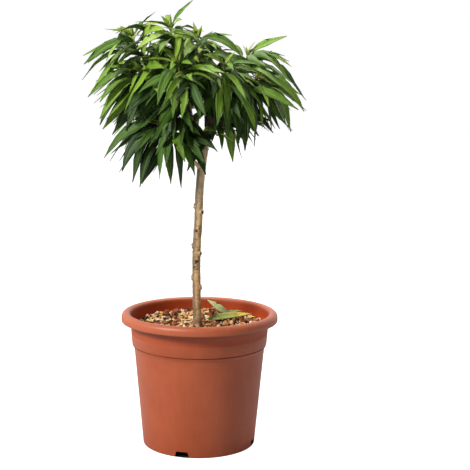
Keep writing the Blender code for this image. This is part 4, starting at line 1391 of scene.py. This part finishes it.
def terracotta(name, shine):
    """Satin brown-red plastic with faint flow marks, deeper red and duller inside above the soil, with a
    painted highlight on the lip's roll and painted shade on the collar under it.
    """
    paint = Paint(name, Roughness=0.42, Specular_IOR_Level=shine)
    cloud = paint.noise(14, 4, 0.6)
    flow = paint.noise(60, 3, 0.6, paint.stretched(1.0, 1.0, 0.12))
    speck = paint.noise(900, 2, 0.5)
    colour = paint.mixed(cloud.above(0.35, 0.68), (0.350, 0.064, 0.017), (0.400, 0.080, 0.024))
    colour = paint.mixed(flow.above(0.45, 0.75) * 0.35, colour, (0.42, 0.098, 0.039))
    colour = paint.mixed(speck.above(0.62, 0.72) * 0.25, colour, (0.48, 0.15, 0.075))
    x, y, height = paint.parts(paint.place)
    reach = (x * x + y * y) ** 0.5
    lip_foot = (POT_HEIGHT - LIP_DEPTH) * MM
    collar = COLLAR_FOOT_RADIUS * MM
    ground = SOIL_LEVEL * MM
    # Painted highlight: the outer roll of the lip is paler, as if lit from above
    lip = height.above(lip_foot - 0.0005, lip_foot + 0.0025)
    lip = lip * reach.above(collar + 0.0032, collar + 0.0057)
    colour = paint.mixed(lip * 0.5, colour, (0.49, 0.125, 0.050))
    # Painted shade: a dark band on the collar just under the lip, where the lip's shadow falls
    corner = height.above(lip_foot - 0.011, lip_foot - 0.0005) * (1 - lip)
    corner = corner * reach.above(collar + 0.0002, collar + 0.0007)
    colour = paint.mixed(corner * 0.55, colour, (0.16, 0.024, 0.006))
    inside = height.above(ground - 0.0115, ground - 0.0095)
    inside = inside * (1 - reach.above(collar - 0.0008, collar + 0.0037))
    colour = paint.mixed(inside * 0.85, colour, (0.37, 0.042, 0.007))
    paint.give(Base_Color=colour, Roughness=0.37 + 0.12 * cloud + 0.06 * flow + 0.45 * inside)
    paint.bump(paint.noise(420, 2, 0.5) * 0.6 + flow * 0.6, 0.0001, 0.6)
    return paint.material


def earth(name, dark, light):
    """Damp potting mix, in crumbs of two tones."""
    paint = Paint(name, Roughness=0.95, Specular_IOR_Level=0.1)
    crumbs = paint.noise(260, 5, 0.7)
    paint.give(Base_Color=paint.mixed(crumbs.above(0.4, 0.66), dark, light))
    paint.bump(crumbs, 0.0016)
    return paint.material


def stone(name, dark, light):
    """Dry crumbs of grit or bark, in patches of two tones with a fine grain."""
    paint = Paint(name, Roughness=0.85, Specular_IOR_Level=0.15)
    patches = paint.noise(130, 3, 0.6)
    grains = paint.noise(900, 3, 0.6)
    paint.give(Base_Color=paint.mixed((patches * 0.7 + grains * 0.3).above(0.36, 0.62), dark, light))
    paint.bump(grains, 0.0004)
    return paint.material


def bark_skin():
    """Thin tan bark with pale bands, dark in the scars, grey and darker on one side and brown in the crown,
    partly as painted shade, and paler up the trunk and in a warm band low down as painted light.
    """
    paint = Paint("peach_bark", Roughness=0.74)
    ground, fork = SOIL_LEVEL * MM, FORK_PLACE[2] * MM
    height = paint.parts(paint.place)[2]
    bands = paint.noise(30, 4, 0.65, paint.stretched(1.0, 1.0, 9.0))
    patches = paint.noise(55, 4, 0.6)
    fine = paint.noise(520, 4, 0.7, paint.stretched(1.0, 1.0, 2.2))
    tan = paint.mixed(patches.above(0.38, 0.62), (0.34, 0.185, 0.066), (0.64, 0.42, 0.18))
    tan = paint.mixed(bands.above(0.52, 0.66) * 0.6, tan, (0.70, 0.52, 0.30))
    tan = paint.mixed((1 - bands).above(0.56, 0.68) * 0.7, tan, (0.20, 0.105, 0.042))
    foot = paint.mixed(patches.above(0.42, 0.58), (0.24, 0.095, 0.050), (0.80, 0.53, 0.29))
    low = 1 - (height + patches * 0.02).above(ground + 0.0105, ground + 0.0405)
    # Painted light: the bark is paler from 0.36 m up, making up for the crown's shadow
    tan = paint.mixed(height.above(0.36, 0.44) * 0.4, tan, (0.84, 0.68, 0.46))
    # Painted light: a paler, warmer band low on the trunk, where the pot's rim shades it
    warm = height.above(ground + 0.0245, ground + 0.0425)
    warm = warm * (1 - height.above(ground + 0.0645, ground + 0.0925))
    tan = paint.mixed(warm * 0.5, tan, (0.78, 0.46, 0.24))
    colour = paint.mixed(low * 0.8, tan, foot)
    # Dark brown from the fork up: partly the boughs' own colour, partly painted shade of the crown
    brown = paint.mixed(patches.above(0.4, 0.62), (0.040, 0.022, 0.012), (0.12, 0.072, 0.040))
    colour = paint.mixed(height.above(fork - 0.015, fork + 0.027), colour, brown)
    grey = paint.mixed(fine.above(0.42, 0.60), (0.060, 0.045, 0.030), (0.20, 0.155, 0.105))
    # The bark is greyer and darker on one side
    grey_side = paint.attribute("grey_side")
    colour = paint.mixed(grey_side * (0.8 - 0.3 * low), colour, grey)
    # Painted shade: the scars' pale rings are left off the grey side, so the bumps there stay dark
    rings = paint.attribute("callus").above(0.3, 0.9) * (1 - grey_side)
    colour = paint.mixed(rings * 0.7, colour, (0.72, 0.56, 0.36))
    scars = paint.attribute("scar").above(0.12, 0.55)
    colour = paint.mixed(scars * 0.95, colour, (0.040, 0.013, 0.005))
    colour = paint.mixed(fine.above(0.54, 0.70) * 0.55, colour, (0.12, 0.065, 0.030))
    paint.give(Base_Color=colour, Roughness=0.62 + 0.25 * patches)
    paint.bump(bands * 0.7 + fine * 0.5 + patches * 0.5, 0.0009)
    return paint.material


def shoot_skin():
    """Young wood: brown at its foot, reddish green towards the tip."""
    paint = Paint("young_wood", Roughness=0.5)
    ripe = paint.attribute("green").above(0.25, 0.85)
    patches = paint.noise(120, 3, 0.6)
    wood = paint.mixed(patches.above(0.4, 0.62), (0.075, 0.045, 0.022), (0.17, 0.11, 0.05))
    paint.give(Base_Color=paint.mixed(ripe, wood, (0.22, 0.26, 0.06)))
    return paint.material


# Darker tone, lighter tone and midrib of each kind of leaf, then the two tones of its underside. The deep
# kind also serves as painted shade and the bright kind as painted light
LEAF_COLOURS = {
    "deep": (
        (0.012, 0.037, 0.003), (0.048, 0.112, 0.009), (0.12, 0.20, 0.035),
        (0.050, 0.095, 0.022), (0.090, 0.155, 0.045),
    ),
    "mid": (
        (0.055, 0.134, 0.006), (0.180, 0.318, 0.022), (0.25, 0.36, 0.08),
        (0.085, 0.150, 0.035), (0.150, 0.240, 0.070),
    ),
    "bright": (
        (0.108, 0.222, 0.011), (0.262, 0.412, 0.033), (0.36, 0.47, 0.11),
        (0.085, 0.150, 0.035), (0.150, 0.240, 0.070),
    ),
    "young": (
        (0.170, 0.270, 0.014), (0.330, 0.430, 0.045), (0.46, 0.52, 0.13),
        (0.230, 0.290, 0.050), (0.360, 0.420, 0.090),
    ),
}


def leaf_top(kind):
    """Upper side of a leaf: satin green, with painted shade darkening its foot, a paler midrib and faint
    side veins.
    """
    dark, light, rib, *_ = LEAF_COLOURS[kind]
    paint = Paint(f"leaf_{kind}", Roughness=0.36, Specular_IOR_Level=0.26)
    across, along_blade = paint.parts(paint.coordinates("UV"))[:2]
    from_rib = (across - 0.5).absolute() * 2
    tone = paint.attribute("tone")
    patches = paint.noise(45, 3, 0.55)
    mottle = paint.noise(240, 3, 0.65)
    share = (tone * 0.60 + patches * 0.40 + mottle * 0.45 - from_rib * 0.12).above(0.30, 1.05)
    colour = paint.mixed(share, dark, light)
    # Painted shade: each blade darkens towards its foot, deep in the crown
    foot = tuple(part * 0.5 for part in dark)
    colour = paint.mixed((1 - along_blade).above(0.55, 1.0) * 0.6, colour, foot)
    colour = paint.mixed((1 - from_rib).above(0.86, 0.97) * 0.5, colour, rib)
    veins = ((along_blade * 34 - from_rib * 5.0) * math.tau).sine()
    colour = paint.mixed(veins.above(0.6, 1.0) * 0.12, colour, rib)
    paint.give(Base_Color=colour, Roughness=0.34 + 0.18 * patches + 0.06 * from_rib)
    paint.bump(veins * 0.35 + mottle * 0.6 + (1 - from_rib).above(0.8, 1.0) * 0.8, 0.0003, 0.8)
    return paint.material


def leaf_under(kind):
    """Underside of a leaf, paler and duller."""
    dark, light = LEAF_COLOURS[kind][3:]
    paint = Paint(f"leaf_{kind}_underside", Roughness=0.58)
    patches = paint.noise(45, 3, 0.55)
    share = (paint.attribute("tone") * 0.6 + patches * 0.5).above(0.15, 0.85)
    paint.give(Base_Color=paint.mixed(share, dark, light))
    return paint.material


# Two tones of each kind of dropped leaf, and the colour of its tip
DRY = {
    "pale": ((0.15, 0.18, 0.055), (0.29, 0.31, 0.115), (0.36, 0.36, 0.15)),
    "pale_back": ((0.36, 0.40, 0.20), (0.55, 0.58, 0.32), (0.55, 0.58, 0.32)),
    "yellow": ((0.21, 0.26, 0.045), (0.38, 0.41, 0.105), (0.72, 0.55, 0.09)),
    "gold": ((0.42, 0.24, 0.05), (0.75, 0.50, 0.14), (0.62, 0.50, 0.12)),
}


def dry_leaf(kind):
    """A leaf that has dropped and dried, with another colour towards its tip."""
    dark, light, tip = DRY[kind]
    paint = Paint(f"fallen_leaf_{kind}", Roughness=0.7)
    along_blade = paint.parts(paint.coordinates("UV"))[1]
    patches = paint.noise(60, 3, 0.6)
    colour = paint.mixed(patches.above(0.35, 0.65), dark, light)
    paint.give(Base_Color=paint.mixed((along_blade + patches * 0.3).above(0.62, 1.05), colour, tip))
    return paint.material


def floor_finish():
    """White card that the eye sees bright, with only a faint shadow on it, and painted black as shade under
    the pot.
    """
    paint = Paint("studio_floor", Roughness=0.9, Specular_IOR_Level=0.1, Emission_Strength=1.0)
    x, y, _ = paint.parts(paint.place)
    foot = FOOT_RADIUS * MM
    # Painted shade: inside the pot's foot the card is near black and gives no glow, so the notches look dark
    open_floor = ((x * x + y * y) ** 0.5).above(foot - 0.0008, foot + 0.0004)
    card = paint.mixed(paint.noise(3, 2, 0.5), (0.42, 0.42, 0.42), (0.46, 0.46, 0.46))
    paint.give(Base_Color=paint.mixed(open_floor, (0.02, 0.015, 0.012), card))
    seen = paint.node("LightPath") * open_floor
    paint.give(Emission_Color=paint.mixed(seen, (0.0, 0.0, 0.0), (0.92, 0.92, 0.92)))
    return paint.material


def make_floor():
    bm = bmesh.new()
    bmesh.ops.create_circle(bm, cap_ends=True, radius=FLOOR_SIZE, segments=64)
    mesh = as_mesh("floor", bm)
    mesh.materials.append(floor_finish())
    floor = bpy.data.objects.new("floor", mesh)
    bpy.context.scene.collection.objects.link(floor)


def make_lights():
    """A soft key light from the upper left, a fill from above, and a surround brighter at the back."""
    scene = bpy.context.scene
    for name, (place, target, size, power) in LIGHTS.items():
        lamp = bpy.data.lights.new(name, "AREA")
        lamp.shape = "DISK"
        lamp.size = size
        lamp.energy = power
        holder = bpy.data.objects.new(name, lamp)
        holder.location = place
        holder.rotation_euler = (Vector(target) - Vector(place)).to_track_quat("-Z", "Y").to_euler()
        scene.collection.objects.link(holder)
    world = bpy.data.worlds.new("surround")
    scene.world = world
    world.use_nodes = True
    graph = Graph(world.node_tree)
    ahead = graph.parts(graph.coordinates("Generated"))[1]
    strength = SURROUND_FRONT + (SURROUND_BACK - SURROUND_FRONT) * ahead.above(-0.3, 0.5)
    seen = graph.node("LightPath")
    back = world.node_tree.nodes["Background"]
    back.inputs["Color"].default_value = (1, 1, 1, 1)
    graph.put(back.inputs["Strength"], graph.node("Mix", {"data_type": "FLOAT"}, seen, strength, 1.0))
    scene.view_settings.view_transform = "Standard"


def make_camera():
    lens = bpy.data.cameras.new("camera")
    lens.lens = LENS
    lens.sensor_width = SENSOR
    lens.sensor_fit = "HORIZONTAL"
    lens.clip_end = 50
    camera = bpy.data.objects.new("camera", lens)
    pitch, yaw = math.radians(CAMERA_PITCH), math.radians(CAMERA_YAW)
    ahead = Vector((math.sin(yaw) * math.cos(pitch), math.cos(yaw) * math.cos(pitch), -math.sin(pitch)))
    camera.location = CAMERA_PLACE
    roll = Matrix.Rotation(math.radians(CAMERA_ROLL), 3, "Z")
    camera.rotation_euler = (ahead.to_track_quat("-Z", "Y").to_matrix() @ roll).to_euler()
    bpy.context.scene.collection.objects.link(camera)
    bpy.context.scene.camera = camera


make_camera()
make_floor()
make_lights()
make_pot()
make_soil()
make_dressing()
make_fallen_leaves()
lines, radii = grow_lines()
crown = grow_crown(lines, radii)
fill_crown(crown)
make_bark(lines, radii)
make_shoots(crown, radii)
make_leaves(crown)
